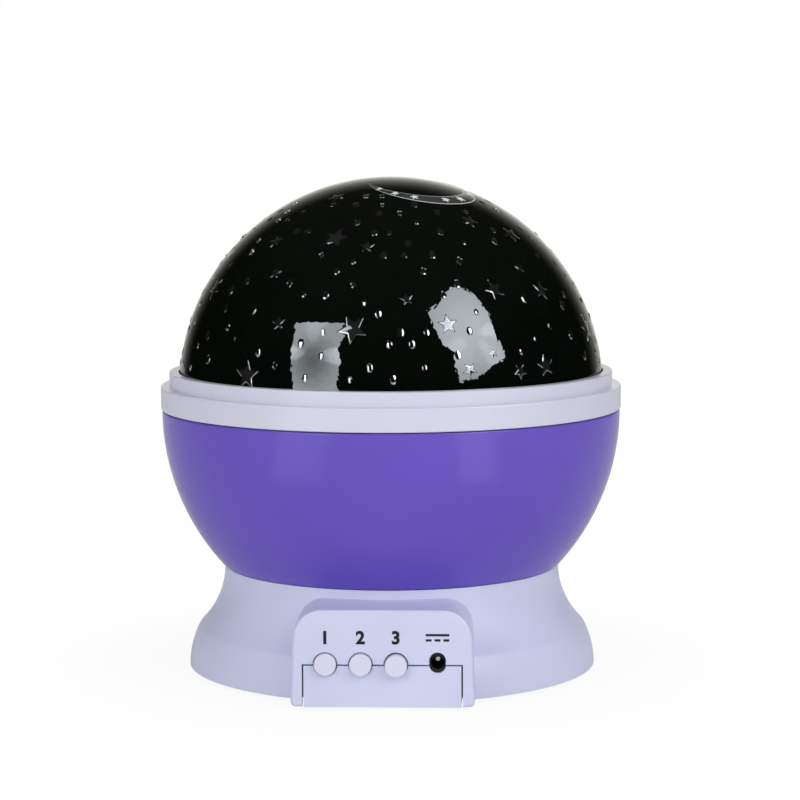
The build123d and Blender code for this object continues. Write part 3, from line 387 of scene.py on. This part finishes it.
def board_green():
    """Solder mask with faint tracks under it."""
    material, tree = new_material("board_green")
    tracks = tree.add("ShaderNodeTexBrick")
    tree.link(tree.place(), tracks.inputs["Vector"])
    tracks.inputs["Scale"].default_value = 260.0
    tracks.inputs["Mortar Size"].default_value = 0.06
    tracks.inputs["Color1"].default_value = rgba((0.012, 0.16, 0.05))
    tracks.inputs["Color2"].default_value = rgba((0.014, 0.18, 0.06))
    tracks.inputs["Mortar"].default_value = rgba((0.03, 0.3, 0.1))
    finish_surface(
        tree,
        {
            "Base Color": tracks.outputs["Color"],
            "Roughness": 0.3,
            "Normal": tree.bump(tracks.outputs["Fac"], 0.02 * MM, 0.4),
        },
    )
    return material


LAVENDER = (0.71, 0.715, 0.89)
LAVENDER_PALE = (0.74, 0.715, 0.83)
BUTTON_LAVENDER = (0.79, 0.765, 0.885)
PURPLE = (0.15, 0.087, 0.545)
NODE_MATERIALS = (
    (moulded("shell_lavender", LAVENDER, 0.34), ("base_shell", "bottom_cover", "battery_door")),
    (
        moulded("ring_lavender", LAVENDER_PALE, 0.2, mottle=0.012, grain_depth=0.0008 * MM),
        ("lower_ring", "dome_ring"),
    ),
    (moulded("bowl_purple", PURPLE, 0.16), ("bowl",)),
    (moulded("button_lavender", BUTTON_LAVENDER, 0.36), ("button_1", "button_2", "button_3")),
    (moulded("mask_black", (0.006, 0.006, 0.006), 0.25), ("star_mask",)),
    (moulded("post_white", (0.72, 0.72, 0.75), 0.5), ("lamp_post", "reflector_deck")),
    (
        moulded("gear_nylon", (0.78, 0.76, 0.68), 0.42),
        ("ring_gear", "idler_gear", "motor_pinion", "thrust_washer"),
    ),
    (moulded("foot_rubber", (0.045, 0.045, 0.05), 0.75, mottle=0.2), ("rubber_feet",)),
    (
        metal("screw_zinc", (0.66, 0.66, 0.65), 0.3),
        ("base_screws", "board_screws", "post_screws", "motor_screws", "ring_gear_screws"),
    ),
    (
        metal("turned_steel", (0.6, 0.6, 0.6), 0.22),
        ("idler_axle", "idler_circlip", "motor_shaft", "motor_can", "retaining_clip"),
    ),
    (
        metal("contact_nickel", (0.78, 0.75, 0.69), 0.2),
        ("contact_plates", "contact_springs", "dc_jack_pin"),
    ),
    (cell_wrap(), ("battery_cells",)),
    (board_green(), ("control_board", "led_board")),
    (
        moulded("component_black", (0.012, 0.012, 0.013), 0.3),
        (
            "dc_jack_body",
            "board_parts",
            "tact_switches",
            "switch_plunger_1",
            "switch_plunger_2",
            "switch_plunger_3",
        ),
    ),
    (moulded("led_clear", (0.85, 0.85, 0.82), 0.12), ("led_white",)),
    (moulded("led_red", (0.6, 0.03, 0.02), 0.12), ("led_red",)),
    (moulded("led_green", (0.04, 0.45, 0.08), 0.12), ("led_green",)),
    (moulded("led_blue", (0.03, 0.08, 0.6), 0.12), ("led_blue",)),
    (
        by_axis("lead_red_black", "X", 0.0, (0.01, 0.01, 0.01), (0.45, 0.02, 0.015), 0.45),
        ("battery_leads",),
    ),
    (moulded("lead_white", (0.65, 0.65, 0.62), 0.45), ("led_leads",)),
    (moulded("lead_yellow", (0.65, 0.42, 0.03), 0.45), ("motor_leads",)),
    (
        window_clear("window_clear", grey=0.021, coat_ior=1.45, transmission=0.25),
        ("star_dome",),
    ),
)
for material, names in NODE_MATERIALS:
    for name in names:
        node = nodes[name]
        node.data.materials.clear()
        node.data.materials.append(material)

WINDOW_MATERIAL = bpy.data.materials["window_clear"]
LENS_MATERIAL = window_clear("lens_clear", grey=0.002, coat_ior=4.0, transmission=0.0)
CRESCENT_MATERIAL = window_clear("crescent_clear", grey=0.06, coat_ior=1.45, transmission=0.0)
# White standing in for glints: painted highlight on the crescent's little stars and on the
# crescent window's rim strips.
GLINT_WHITE_MATERIAL = moulded("painted_glint_white", (0.8, 0.8, 0.76), 0.15)


# ---------------------------------------------------------------- mesh helpers
def add_object(name, mesh, material, body):
    mesh.materials.append(material)
    piece = bpy.data.objects.new(name, mesh)
    bpy.context.scene.collection.objects.link(piece)
    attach(piece, body)
    return piece


def shade(bm, sharp_degrees):
    """Smooth faces, with edges sharper than an angle kept crisp, unless tagged."""
    bmesh.ops.recalc_face_normals(bm, faces=bm.faces)
    for face in bm.faces:
        face.smooth = True
    for edge in bm.edges:
        angle = edge.calc_face_angle(math.pi)
        edge.smooth = edge.tag or angle < math.radians(sharp_degrees)


def mesh_from(bm, name):
    mesh = bpy.data.meshes.new(name)
    bm.to_mesh(mesh)
    bm.free()
    return mesh


# ---------------------------------------------------------------- dome windows
class Spot:
    """Place on the dome: its outward, eastward and uphill directions."""

    def __init__(self, azimuth, elevation):
        turn = math.radians(azimuth)
        tilt = math.radians(elevation)
        self.out = Vector(
            (
                math.cos(tilt) * math.sin(turn),
                -math.cos(tilt) * math.cos(turn),
                math.sin(tilt),
            )
        )
        self.east = Vector((math.cos(turn), math.sin(turn), 0))
        self.uphill = self.out.cross(self.east)

    def at(self, x, y, radius):
        """Point of a sphere over the place (x, y) of the spot's own plane."""
        depth = math.sqrt(radius ** 2 - x ** 2 - y ** 2)
        return dome_centre + self.out * depth + self.east * x + self.uphill * y


def star_outline(tip_r, turn):
    corners = []
    for i in range(2 * STAR_POINTS):
        r = tip_r if i % 2 == 0 else tip_r * STAR_WAIST
        angle = math.radians(90 + turn + 180 / STAR_POINTS * i)
        corners.append((r * math.cos(angle), r * math.sin(angle)))
    return corners


def dot_outline(half_width, half_height, count=20):
    turns = [math.tau * i / count for i in range(count)]
    return [(half_width * math.cos(t), half_height * math.sin(t)) for t in turns]


def moon_arcs(inset, count=56):
    """Outer and inner arc of the crescent, from its right horn to its left one."""
    outer_r = MOON_R - inset
    inner_r = MOON_BITE_R + inset
    horn_y = (outer_r ** 2 - inner_r ** 2 + MOON_BITE_SHIFT ** 2) / (2 * MOON_BITE_SHIFT)
    horn_x = math.sqrt(outer_r ** 2 - horn_y ** 2)
    outer_start = math.atan2(horn_y, horn_x)
    inner_start = math.atan2(horn_y - MOON_BITE_SHIFT, horn_x)
    outer, inner = [], []
    for i in range(count + 1):
        share = i / count
        a = outer_start - share * (math.pi + 2 * outer_start)
        b = inner_start - share * (math.pi + 2 * inner_start)
        outer.append((outer_r * math.cos(a), outer_r * math.sin(a)))
        inner.append((inner_r * math.cos(b), MOON_BITE_SHIFT + inner_r * math.sin(b)))
    return outer, inner


def all_windows():
    """(kind, spot, outline) of every window."""
    found = []
    for half in (0, 180):
        for azimuth, elevation, tip, turn in STAR_WINDOWS:
            spot = Spot(azimuth + half, elevation)
            found.append(("star", spot, star_outline(tip * MM, turn)))
        for row, (elevation, azimuths) in enumerate(DOT_WINDOWS):
            widening = (DOT_TOP_HALF_WIDTH - DOT_LOW_HALF_WIDTH) * elevation / 90
            half_width = DOT_LOW_HALF_WIDTH + widening
            for i, azimuth in enumerate(azimuths):
                scale = DOT_SCALES[(row + i) % len(DOT_SCALES)]
                outline = dot_outline(scale * half_width, scale * DOT_HALF_HEIGHT)
                found.append(("dot", Spot(azimuth + half, elevation), outline))
    outer, inner = moon_arcs(0)
    crescent = inner + outer[-2:0:-1]
    found.append(("moon", Spot(MOON_AZIMUTH, MOON_ELEVATION), crescent))
    return found


windows = all_windows()
GRID_STEP = math.radians(1.7)
RIM_POINTS = 256
KEEP_OFF = 0.4 * MM
SAME_PLACE = 1e-7
AT_FOOT = 1e-6
AT_TOP = 1e-9
foot_angle = math.acos((dome_foot - dome_centre.z) / DOME_R)


def flatten(direction):
    """Place of a direction on a flat map that keeps the angle from the top."""
    direction = direction.normalized()
    angle = math.acos(max(-1.0, min(1.0, direction.z)))
    flat = Vector((direction.x, direction.y))
    if flat.length < AT_TOP:
        return Vector((0, 0))
    return flat.normalized() * angle


def unflatten(place):
    angle = place.length
    if angle < AT_TOP:
        return Vector((0, 0, 1))
    side = place.normalized() * math.sin(angle)
    return Vector((side.x, side.y, math.cos(angle)))


def skin_map():
    """Triangles of the dome's flat map, with the windows left out."""
    places = []
    loops = []
    keep_off = []
    for kind, spot, outline in windows:
        start = len(places)
        for x, y in outline:
            places.append(flatten(spot.at(x, y, DOME_R) - dome_centre))
        loops.append(list(range(start, len(places))))
        if kind != "moon":
            reach = max(math.hypot(x, y) for x, y in outline) + KEEP_OFF
            keep_off.append((spot.out, math.cos(reach / DOME_R)))
    rim = []
    for i in range(RIM_POINTS):
        a = math.tau * i / RIM_POINTS
        rim.append(len(places))
        places.append(Vector((math.cos(a), math.sin(a))) * foot_angle)
    rings = int(foot_angle / GRID_STEP)
    for ring in range(rings):
        angle = ring * foot_angle / rings
        count = max(1, round(math.tau * math.sin(angle) / GRID_STEP))
        for i in range(count):
            a = math.tau * (i + 0.5 * (ring % 2)) / count
            place = Vector((math.cos(a), math.sin(a))) * angle
            direction = unflatten(place)
            if all(direction.dot(out) < limit for out, limit in keep_off):
                places.append(place)
    edges = [(a, b) for loop in loops + [rim] for a, b in zip(loop, loop[1:] + loop[:1])]
    result = geometry.delaunay_2d_cdt(places, edges, loops, 0, SAME_PLACE, True)
    kept = [face for face, source in zip(result[2], result[5]) if not source]
    return result[0], kept


def make_skin():
    """Black shell with a hole for every window."""
    places, triangles = skin_map()
    directions = [unflatten(Vector(p)) for p in places]
    count = len(directions)
    inner_r = DOME_R - DOME_WALL
    foot_rise = dome_foot - dome_centre.z
    points = [dome_centre + d * DOME_R for d in directions]
    for direction, place in zip(directions, places):
        if Vector(place).length > foot_angle - AT_FOOT:
            flat = Vector((direction.x, direction.y, 0)).normalized()
            flat_r = math.sqrt(inner_r ** 2 - foot_rise ** 2)
            points.append(Vector((0, 0, dome_foot)) + flat * flat_r)
        else:
            points.append(dome_centre + direction * inner_r)
    faces = []
    side_of = {}
    for face in triangles:
        a, b, c = face
        if (points[b] - points[a]).cross(points[c] - points[a]).dot(directions[a]) < 0:
            face = (a, c, b)
        faces.append(tuple(face))
        for edge in zip(face, face[1:] + face[:1]):
            side_of[edge] = side_of.get(edge, 0) + 1
    outside = len(faces)
    faces += [(c + count, b + count, a + count) for a, b, c in faces[:outside]]
    for a, b in list(side_of):
        if (b, a) not in side_of:
            faces.append((b, a, a + count, b + count))
    used = sorted({i for face in faces for i in face})
    new_index = {old: new for new, old in enumerate(used)}
    mesh = bpy.data.meshes.new("dome_skin")
    mesh.from_pydata(
        [points[i] for i in used], [], [[new_index[i] for i in face] for face in faces]
    )
    mesh.update()
    normals = []
    for polygon in mesh.polygons:
        for loop in polygon.loop_indices:
            point = mesh.vertices[mesh.loops[loop].vertex_index].co
            outwards = (point - dome_centre).normalized()
            if polygon.index < outside:
                normals.append(outwards)
            elif polygon.index < 2 * outside:
                normals.append(-outwards)
            else:
                normals.append(polygon.normal)
    mesh.polygons.foreach_set("use_smooth", [True] * len(mesh.polygons))
    mesh.normals_split_custom_set(normals)
    skin = add_object("dome_skin", mesh, dome_black(), "dome")
    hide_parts("star_dome")


WINDOW_FIT = 0.98
GROOVE_DEPTH = 0.06 * MM
# Height of a dot above the skin at these shares of its width.
DOT_PROFILE = (
    (1.0, -GROOVE_DEPTH),
    (0.95, 0.012 * MM),
    (0.8, 0.05 * MM),
    (0.6, 0.078 * MM),
    (0.3, 0.094 * MM),
)
DOT_CROWN = 0.096 * MM
DOT_CROWN_SHARES = (0.5, 2.1)
DOT_TILT = 13.0
STAR_RISE = 0.018
STAR_BEVEL = (0.06, 0.2)
STAR_GROOVE = 0.1 * MM
CRESCENT_FIT = 0.03 * MM
# Height of the crescent above the skin at these shares of the way across it.
CRESCENT_PROFILE = (
    (0.0, -GROOVE_DEPTH),
    (0.06, 0.0),
    (0.3, 0.07 * MM),
    (0.5, 0.09 * MM),
    (0.7, 0.07 * MM),
    (0.94, 0.0),
    (1.0, -GROOVE_DEPTH),
)
# Edges that turn by more degrees than these stay crisp.
DOT_CRISP = 35
STAR_CRISP = 1.5
CRESCENT_CRISP = 60
draw = random.Random(11)


def close_solid(bm, loops, top, bottom_loop, bottom):
    """Faces of a lens: strips between its loops, a fan on top and one below."""
    rings = [bottom_loop] + loops
    for low, high in zip(rings, rings[1:]):
        for i in range(len(low)):
            j = (i + 1) % len(low)
            bm.faces.new((low[i], low[j], high[j], high[i]))
    last = rings[-1]
    for i in range(len(last)):
        j = (i + 1) % len(last)
        bm.faces.new((last[i], last[j], top))
        bm.faces.new((bottom_loop[j], bottom_loop[i], bottom))


def add_dot(bm, spot, outline):
    """Oval lens: a groove at its edge, then a low crown that leans a little."""
    inner_r = DOME_R - DOME_WALL
    crown = draw.uniform(*DOT_CROWN_SHARES)
    lean = math.tan(math.radians(draw.uniform(0.0, DOT_TILT)))
    towards = draw.uniform(0.0, math.tau)
    fitted = [(WINDOW_FIT * x, WINDOW_FIT * y) for x, y in outline]
    loops = []
    for scale, height in DOT_PROFILE:
        loop = []
        for x, y in fitted:
            rise = height
            if scale < 1.0:
                uphill = x * math.cos(towards) + y * math.sin(towards)
                rise = height * crown + lean * scale * uphill
            place = spot.at(x * scale, y * scale, DOME_R) + spot.out * rise
            loop.append(bm.verts.new(place))
        loops.append(loop)
    bottom_loop = [bm.verts.new(spot.at(x, y, inner_r)) for x, y in fitted]
    top = bm.verts.new(spot.at(0, 0, DOME_R) + spot.out * DOT_CROWN * crown)
    bottom = bm.verts.new(spot.at(0, 0, inner_r))
    close_solid(bm, loops, top, bottom_loop, bottom)


def add_star(bm, spot, outline):
    """Star plate: a round-edged bevel, then ten flat facets that rise to its middle."""
    inner_r = DOME_R - DOME_WALL
    fitted = [(WINDOW_FIT * x, WINDOW_FIT * y) for x, y in outline]
    tip_r = math.hypot(*outline[0])
    peak = spot.at(0, 0, DOME_R) + spot.out * STAR_RISE * tip_r
    rim = [spot.at(x, y, DOME_R) for x, y in fitted]
    sunk = [bm.verts.new(point - spot.out * STAR_GROOVE) for point in rim]
    bevel = [[bm.verts.new(point.lerp(peak, share)) for point in rim] for share in STAR_BEVEL]
    bottom_loop = [bm.verts.new(spot.at(x, y, inner_r)) for x, y in fitted]
    bottom = bm.verts.new(spot.at(0, 0, inner_r))
    close_solid(bm, [sunk] + bevel, bm.verts.new(peak), bottom_loop, bottom)
    brink = bevel[0]
    for a, b in zip(brink, brink[1:] + brink[:1]):
        edge = bm.edges.get((a, b))
        edge.tag = True
        for face in edge.link_faces:
            face.material_index = 1


def add_moon(bm, spot):
    """Crescent plate with a groove round it and a low crown along its middle."""
    inner_r = DOME_R - DOME_WALL
    outer, inner = moon_arcs(CRESCENT_FIT)
    rows = []
    for share, height in CRESCENT_PROFILE:
        row = []
        for a, b in zip(outer, inner):
            x = a[0] + share * (b[0] - a[0])
            y = a[1] + share * (b[1] - a[1])
            row.append(bm.verts.new(spot.at(x, y, DOME_R) + spot.out * height))
        rows.append(row)
    for arc in (inner, outer):
        rows.append([bm.verts.new(spot.at(x, y, inner_r)) for x, y in arc])
    # The rim strips at both edges take the second material, a painted highlight for the glints
    # along the crescent's outline.
    rim_strips = (0, len(CRESCENT_PROFILE) - 2)
    for number, (low, high) in enumerate(zip(rows, rows[1:] + rows[:1])):
        for i in range(len(low) - 1):
            face = bm.faces.new((low[i], low[i + 1], high[i + 1], high[i]))
            face.material_index = 1 if number in rim_strips else 0
    for end in (0, -1):
        bm.faces.new([row[end] for row in rows])


def make_windows():
    for kind, maker, crisp, material in (
        ("dot", add_dot, DOT_CRISP, LENS_MATERIAL),
        ("star", add_star, STAR_CRISP, WINDOW_MATERIAL),
    ):
        bm = bmesh.new()
        for found, spot, outline in windows:
            if found == kind:
                maker(bm, spot, outline)
        shade(bm, crisp)
        piece = add_object(kind + "_windows", mesh_from(bm, kind), material, "dome")
        piece.data.materials.append(LENS_MATERIAL)
    bm = bmesh.new()
    add_moon(bm, Spot(MOON_AZIMUTH, MOON_ELEVATION))
    shade(bm, CRESCENT_CRISP)
    piece = add_object("crescent_window", mesh_from(bm, "crescent"), CRESCENT_MATERIAL, "dome")
    # Second material: the painted highlight on the crescent's rim strips.
    piece.data.materials.append(GLINT_WHITE_MATERIAL)


# Little stars raised on the crescent: share of the way along it, tip radius.
CRESCENT_STARS = (
    (0.3, 1.2 * MM),
    (0.45, 1.8 * MM),
    (0.54, 1.7 * MM),
    (0.67, 1.6 * MM),
    (0.77, 1.4 * MM),
    (0.86, 1.0 * MM),
)
CRESCENT_STAR_HEIGHT = 0.45 * MM
CRESCENT_STAR_TURN = 17


def make_crescent_stars():
    """Pointed little stars that stand on the crescent window, coloured white as a painted
    highlight for their glints.
    """
    spot = Spot(MOON_AZIMUTH, MOON_ELEVATION)
    outer, inner = moon_arcs(0)
    bm = bmesh.new()
    for number, (share, tip_r) in enumerate(CRESCENT_STARS):
        i = round(share * (len(outer) - 1))
        middle = [(a + b) / 2 for a, b in zip(outer[i], inner[i])]
        foot = []
        for x, y in star_outline(tip_r, CRESCENT_STAR_TURN * number):
            place = spot.at(middle[0] + x, middle[1] + y, DOME_R)
            foot.append(bm.verts.new(place))
        peak = bm.verts.new(
            spot.at(middle[0], middle[1], DOME_R) + spot.out * CRESCENT_STAR_HEIGHT
        )
        for a, b in zip(foot, foot[1:] + foot[:1]):
            bm.faces.new((a, b, peak))
        bm.faces.new(foot[::-1])
    shade(bm, STAR_CRISP)
    mesh = mesh_from(bm, "crescent_stars")
    piece = add_object("crescent_stars", mesh, GLINT_WHITE_MATERIAL, "dome")


make_skin()
make_windows()
make_crescent_stars()


# ---------------------------------------------------------------- printed marks
PRINT_DEPTH = 0.02 * MM
MARK_CENTRE_Z = 18.9 * MM
NUMERAL_HEIGHT = 3.2 * MM
NUMERAL_SHARE_OF_SIZE = 0.7
NUMERAL_BOLDER = 0.18 * MM
SIGN_WIDTH = 6.0 * MM
SIGN_STROKE = 0.6 * MM
SIGN_GAP = 0.75 * MM
SIGN_DASHES = 3


def add_bar(bm, left, right, bottom, panel_y):
    """Printed bar on the front plane of the panel."""
    corners = [
        (left, bottom),
        (right, bottom),
        (right, bottom + SIGN_STROKE),
        (left, bottom + SIGN_STROKE),
    ]
    front = [bm.verts.new((x, panel_y - PRINT_DEPTH, z)) for x, z in corners]
    back = [bm.verts.new((x, panel_y, z)) for x, z in corners]
    bm.faces.new(front)
    bm.faces.new(back[::-1])
    for i in range(4):
        j = (i + 1) % 4
        bm.faces.new((front[i], back[i], back[j], front[j]))


def make_sign(ink, panel_y):
    """The general direct-current sign: a bar over dashes."""
    low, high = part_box("dc_jack_pin")
    left = (low.x + high.x - SIGN_WIDTH) / 2
    step = (SIGN_WIDTH + SIGN_GAP) / SIGN_DASHES
    bm = bmesh.new()
    add_bar(bm, left, left + SIGN_WIDTH, MARK_CENTRE_Z + SIGN_GAP / 2, panel_y)
    for i in range(SIGN_DASHES):
        start = left + i * step
        bottom = MARK_CENTRE_Z - SIGN_GAP / 2 - SIGN_STROKE
        add_bar(bm, start, start + step - SIGN_GAP, bottom, panel_y)
    bmesh.ops.recalc_face_normals(bm, faces=bm.faces)
    add_object("inlet_sign", mesh_from(bm, "inlet_sign"), ink, "base")


def make_print():
    """Plain numerals over the buttons and the direct-current sign over the inlet."""
    ink = moulded("print_black", (0.012, 0.012, 0.014), 0.5)
    panel_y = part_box("base_shell")[0].y
    make_sign(ink, panel_y)
    for number in (1, 2, 3):
        low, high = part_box(f"button_{number}")
        curve = bpy.data.curves.new(f"numeral_{number}", "FONT")
        curve.body = str(number)
        curve.align_x = "CENTER"
        curve.size = NUMERAL_HEIGHT / NUMERAL_SHARE_OF_SIZE
        curve.offset = NUMERAL_BOLDER
        curve.extrude = PRINT_DEPTH / 2
        text = bpy.data.objects.new(f"numeral_text_{number}", curve)
        bpy.context.scene.collection.objects.link(text)
        text.rotation_euler = (math.pi / 2, 0, 0)
        text.location = (
            (low.x + high.x) / 2,
            panel_y - PRINT_DEPTH / 2,
            MARK_CENTRE_Z - NUMERAL_HEIGHT / 2,
        )
        bpy.context.view_layer.update()
        mesh = bpy.data.meshes.new_from_object(text)
        mesh.transform(text.matrix_world)
        bpy.data.objects.remove(text)
        mesh.materials.clear()
        add_object(f"numeral_{number}", mesh, ink, "base")


make_print()


# ---------------------------------------------------------------- floor, world, lamps
FLOOR_R = 1.6
FLOOR_SIDES = 96
PAPER_WHITE = 0.86
PAPER_GLOW = 1.02
# Share of plain white in the paper, rising from the object's foot outwards.
SHADOW_REACH = (0.06, 0.14)
SHADOW_WHITE_SHARE = 0.89
SIDE_GLOW = 0.07
FRONT_GLOW = 0.69
FRONT_GLOW_RISE = (0.1, 0.9)
TOP_GLOW = 0.29
SCREEN_START = 0.65
SCREEN_FALLOFF = 4.0
DARK_ROOM = 0.005
DARK_CEILING = 0.025
CEILING_START = 0.2
WARM_WHITE = (1.0, 0.98, 0.9)
CARD_REACH = (0.16, 0.75)
CARD_RISE = 0.001
CARD_STEPS = 8
SOFTBOX_DISTANCE = 1.3
SOFTBOX_COLOUR = (0.88, 0.95, 1.0)
HUB_FADE = (0.04, 0.2)
UMBRELLA_REACH = (0.1, 0.7)
LEAST_REACH = 0.001
# Corners of the two softboxes as (azimuth, elevation) seen from the dome.
LEFT_SOFTBOX = (
    (-58.5, 33),
    (-50.5, 35),
    (-40.5, 37),
    (-27.5, 38),
    (-25.5, 33),
    (-27.5, 27),
    (-25.5, 19),
    (-25.5, 4),
    (-25.5, -12),
    (-48.5, -12),
    (-50.5, 8),
    (-54.5, 20),
    (-55.5, 27),
)
RIGHT_SOFTBOX = (
    (28, 45),
    (38, 48),
    (45, 52),
    (54, 54),
    (63, 52),
    (67, 46),
    (68, 38),
    (66, 27),
    (68, 16),
    (57, 13),
    (49, 9),
    (39, 8),
    (37, 16),
    (38, 22),
    (33, 26),
    (29, 36),
)


def make_world():
    """White to the camera. Polished faces see a white screen straight behind the
    object and a dark room elsewhere. The rest gets a soft glow, mostly from the
    front, the back and above."""
    world = bpy.data.worlds.new("studio")
    bpy.context.scene.world = world
    world.use_nodes = True
    tree = Nodes(world.node_tree)
    path = tree.add("ShaderNodeLightPath")
    direction = tree.split(tree.add("ShaderNodeTexCoord").outputs["Generated"])
    screen = tree.remap(direction["Y"], SCREEN_START, 1.0, 0.0, 1.0)
    screen = tree.math("POWER", screen, SCREEN_FALLOFF)
    room = tree.remap(direction["Z"], CEILING_START, 1.0, DARK_ROOM, DARK_CEILING)
    mirrored = tree.math("MAXIMUM", screen, room)
    depth = tree.math("ABSOLUTE", direction["Y"])
    soft = tree.math(
        "ADD",
        tree.remap(depth, *FRONT_GLOW_RISE, SIDE_GLOW, FRONT_GLOW, smooth=True),
        tree.remap(direction["Z"], 0.0, 1.0, 0.0, TOP_GLOW),
    )
    glossy = path.outputs["Is Glossy Ray"]
    clear = tree.math("MAXIMUM", glossy, path.outputs["Is Transmission Ray"])
    strength = tree.add("ShaderNodeMix")
    tree.link(clear, strength.inputs["Factor"])
    tree.link(soft, strength.inputs["A"])
    tree.link(mirrored, strength.inputs["B"])
    shown = tree.math("MAXIMUM", path.outputs["Is Camera Ray"], strength.outputs["Result"])
    glow = tree.add("ShaderNodeBackground")
    tree.link(tree.mix(glossy, WHITE, rgba(WARM_WHITE)), glow.inputs["Color"])
    tree.link(shown, glow.inputs["Strength"])
    tree.show(glow.outputs["Background"], "ShaderNodeOutputWorld")


def add_stage(name, mesh, material):
    """Object of the studio, which isn't part of the light."""
    mesh.materials.append(material)
    thing = bpy.data.objects.new(name, mesh)
    bpy.context.scene.collection.objects.link(thing)
    return thing


def make_floor():
    """White paper: pure white to the camera, with a faint shadow near the object."""
    bm = bmesh.new()
    bmesh.ops.create_circle(bm, cap_ends=True, segments=FLOOR_SIDES, radius=FLOOR_R)
    material, tree = new_material("floor_white")
    paper = tree.add("ShaderNodeBsdfDiffuse")
    paper.inputs["Color"].default_value = rgba((PAPER_WHITE,) * 3)
    place = tree.split(tree.place())
    reach = tree.length(place["X"], place["Y"])
    white_share = tree.remap(reach, *SHADOW_REACH, SHADOW_WHITE_SHARE, 1.0, smooth=True)
    path = tree.add("ShaderNodeLightPath")
    blend = tree.add("ShaderNodeMixShader")
    share = tree.math("MULTIPLY", path.outputs["Is Camera Ray"], white_share)
    tree.link(share, blend.inputs["Fac"])
    tree.link(paper.outputs["BSDF"], blend.inputs[1])
    tree.link(tree.emission(PAPER_GLOW), blend.inputs[2])
    tree.show(blend.outputs["Shader"])
    add_stage("floor", mesh_from(bm, "floor"), material)


def umbrella_glow(tree, hub, level, rays, blob):
    """Strength of an umbrella's light: level, rays from its hub and a dim blob.

    A ray is (angle, half width, added light), and the blob is (x, y, radius, share)."""
    place = tree.split(tree.place())
    x = tree.math("SUBTRACT", place["X"], hub[0])
    y = tree.math("SUBTRACT", place["Y"], hub[1])
    reach = tree.length(x, y)
    near = tree.remap(reach, *HUB_FADE, 0.0, 1.0, smooth=True)
    total = tree.remap(reach, *UMBRELLA_REACH, *level, smooth=True)
    for angle, half_width, light in rays:
        along = tree.math(
            "ADD",
            tree.math("MULTIPLY", x, math.cos(math.radians(angle))),
            tree.math("MULTIPLY", y, math.sin(math.radians(angle))),
        )
        facing = tree.math("DIVIDE", along, tree.math("MAXIMUM", reach, LEAST_REACH))
        edge = math.cos(math.radians(half_width))
        ray = tree.remap(facing, edge, 1.0, 0.0, light, smooth=True)
        total = tree.math("ADD", total, tree.math("MULTIPLY", ray, near))
    blob_x, blob_y, blob_r, blob_share = blob
    away = tree.length(
        tree.math("SUBTRACT", place["X"], blob_x), tree.math("SUBTRACT", place["Y"], blob_y)
    )
    dim = tree.remap(away, 0.0, blob_r, blob_share, 1.0, smooth=True)
    return tree.math("MULTIPLY", total, dim)


def make_softbox(name, centre, corners, dull_share, **pattern):
    """Glowing panel that the camera doesn't see, square to its centre's direction.

    Matt surfaces get dull_share of the light that polished ones reflect."""
    aim = Spot(*centre)
    points = []
    for azimuth, elevation in corners:
        out = Spot(azimuth, elevation).out
        scale = SOFTBOX_DISTANCE / out.dot(aim.out)
        points.append((out.dot(aim.east) * scale, out.dot(aim.uphill) * scale, 0))
    count = len(points)
    mesh = bpy.data.meshes.new(name)
    mesh.from_pydata(
        points + [(0, 0, 0)], [], [(i, (i + 1) % count, count) for i in range(count)]
    )
    material, tree = new_material(name + "_glow")
    path = tree.add("ShaderNodeLightPath")
    share = tree.remap(path.outputs["Is Glossy Ray"], 0.0, 1.0, dull_share, 1.0)
    strength = tree.math("MULTIPLY", umbrella_glow(tree, **pattern), share)
    tree.show(tree.emission(strength, rgba(SOFTBOX_COLOUR)))
    panel = add_stage(name, mesh, material)
    panel.matrix_world = Matrix.Translation(
        dome_centre + aim.out * SOFTBOX_DISTANCE
    ) @ Matrix((aim.east, aim.uphill, aim.out)).transposed().to_4x4()
    panel.visible_camera = False


def make_card(name, azimuth, half_width, strength):
    """Bright card on the floor that only polished faces show."""
    turns = [
        math.radians(azimuth - half_width + 2 * half_width * i / CARD_STEPS)
        for i in range(CARD_STEPS + 1)
    ]
    points = [
        (reach * math.sin(turn), -reach * math.cos(turn), CARD_RISE)
        for reach in CARD_REACH
        for turn in turns
    ]
    count = len(turns)
    faces = [(i, i + 1, count + i + 1, count + i) for i in range(CARD_STEPS)]
    mesh = bpy.data.meshes.new(name)
    mesh.from_pydata(points, [], faces)
    material, tree = new_material(name + "_glow")
    tree.show(tree.emission(strength))
    card = add_stage(name, mesh, material)
    card.visible_camera = False
    card.visible_diffuse = False
    card.visible_shadow = False
    card.visible_transmission = False


make_world()
make_floor()
make_card("card_left", azimuth=-39, half_width=12, strength=1.35)
make_card("card_right", azimuth=41, half_width=9, strength=1.55)
make_softbox(
    "softbox_left",
    (-42, 14),
    LEFT_SOFTBOX,
    dull_share=0.77,
    hub=(0.0, 0.16),
    level=(4.1, 4.1),
    rays=((184, 26, 3.6), (5, 24, 3.6), (100, 30, 1.2)),
    blob=(0.03, 0.08, 0.42, 0.38),
)
make_softbox(
    "softbox_right",
    (50, 30),
    RIGHT_SOFTBOX,
    dull_share=0.56,
    hub=(0.02, 0.0),
    level=(6.4, 4.6),
    rays=((0, 22, 1.6), (205, 26, 1.1), (305, 20, 0.7), (270, 24, -0.6)),
    blob=(0.0, -0.75, 0.5, 0.8),
)
bpy.context.scene.view_settings.view_transform = "Standard"
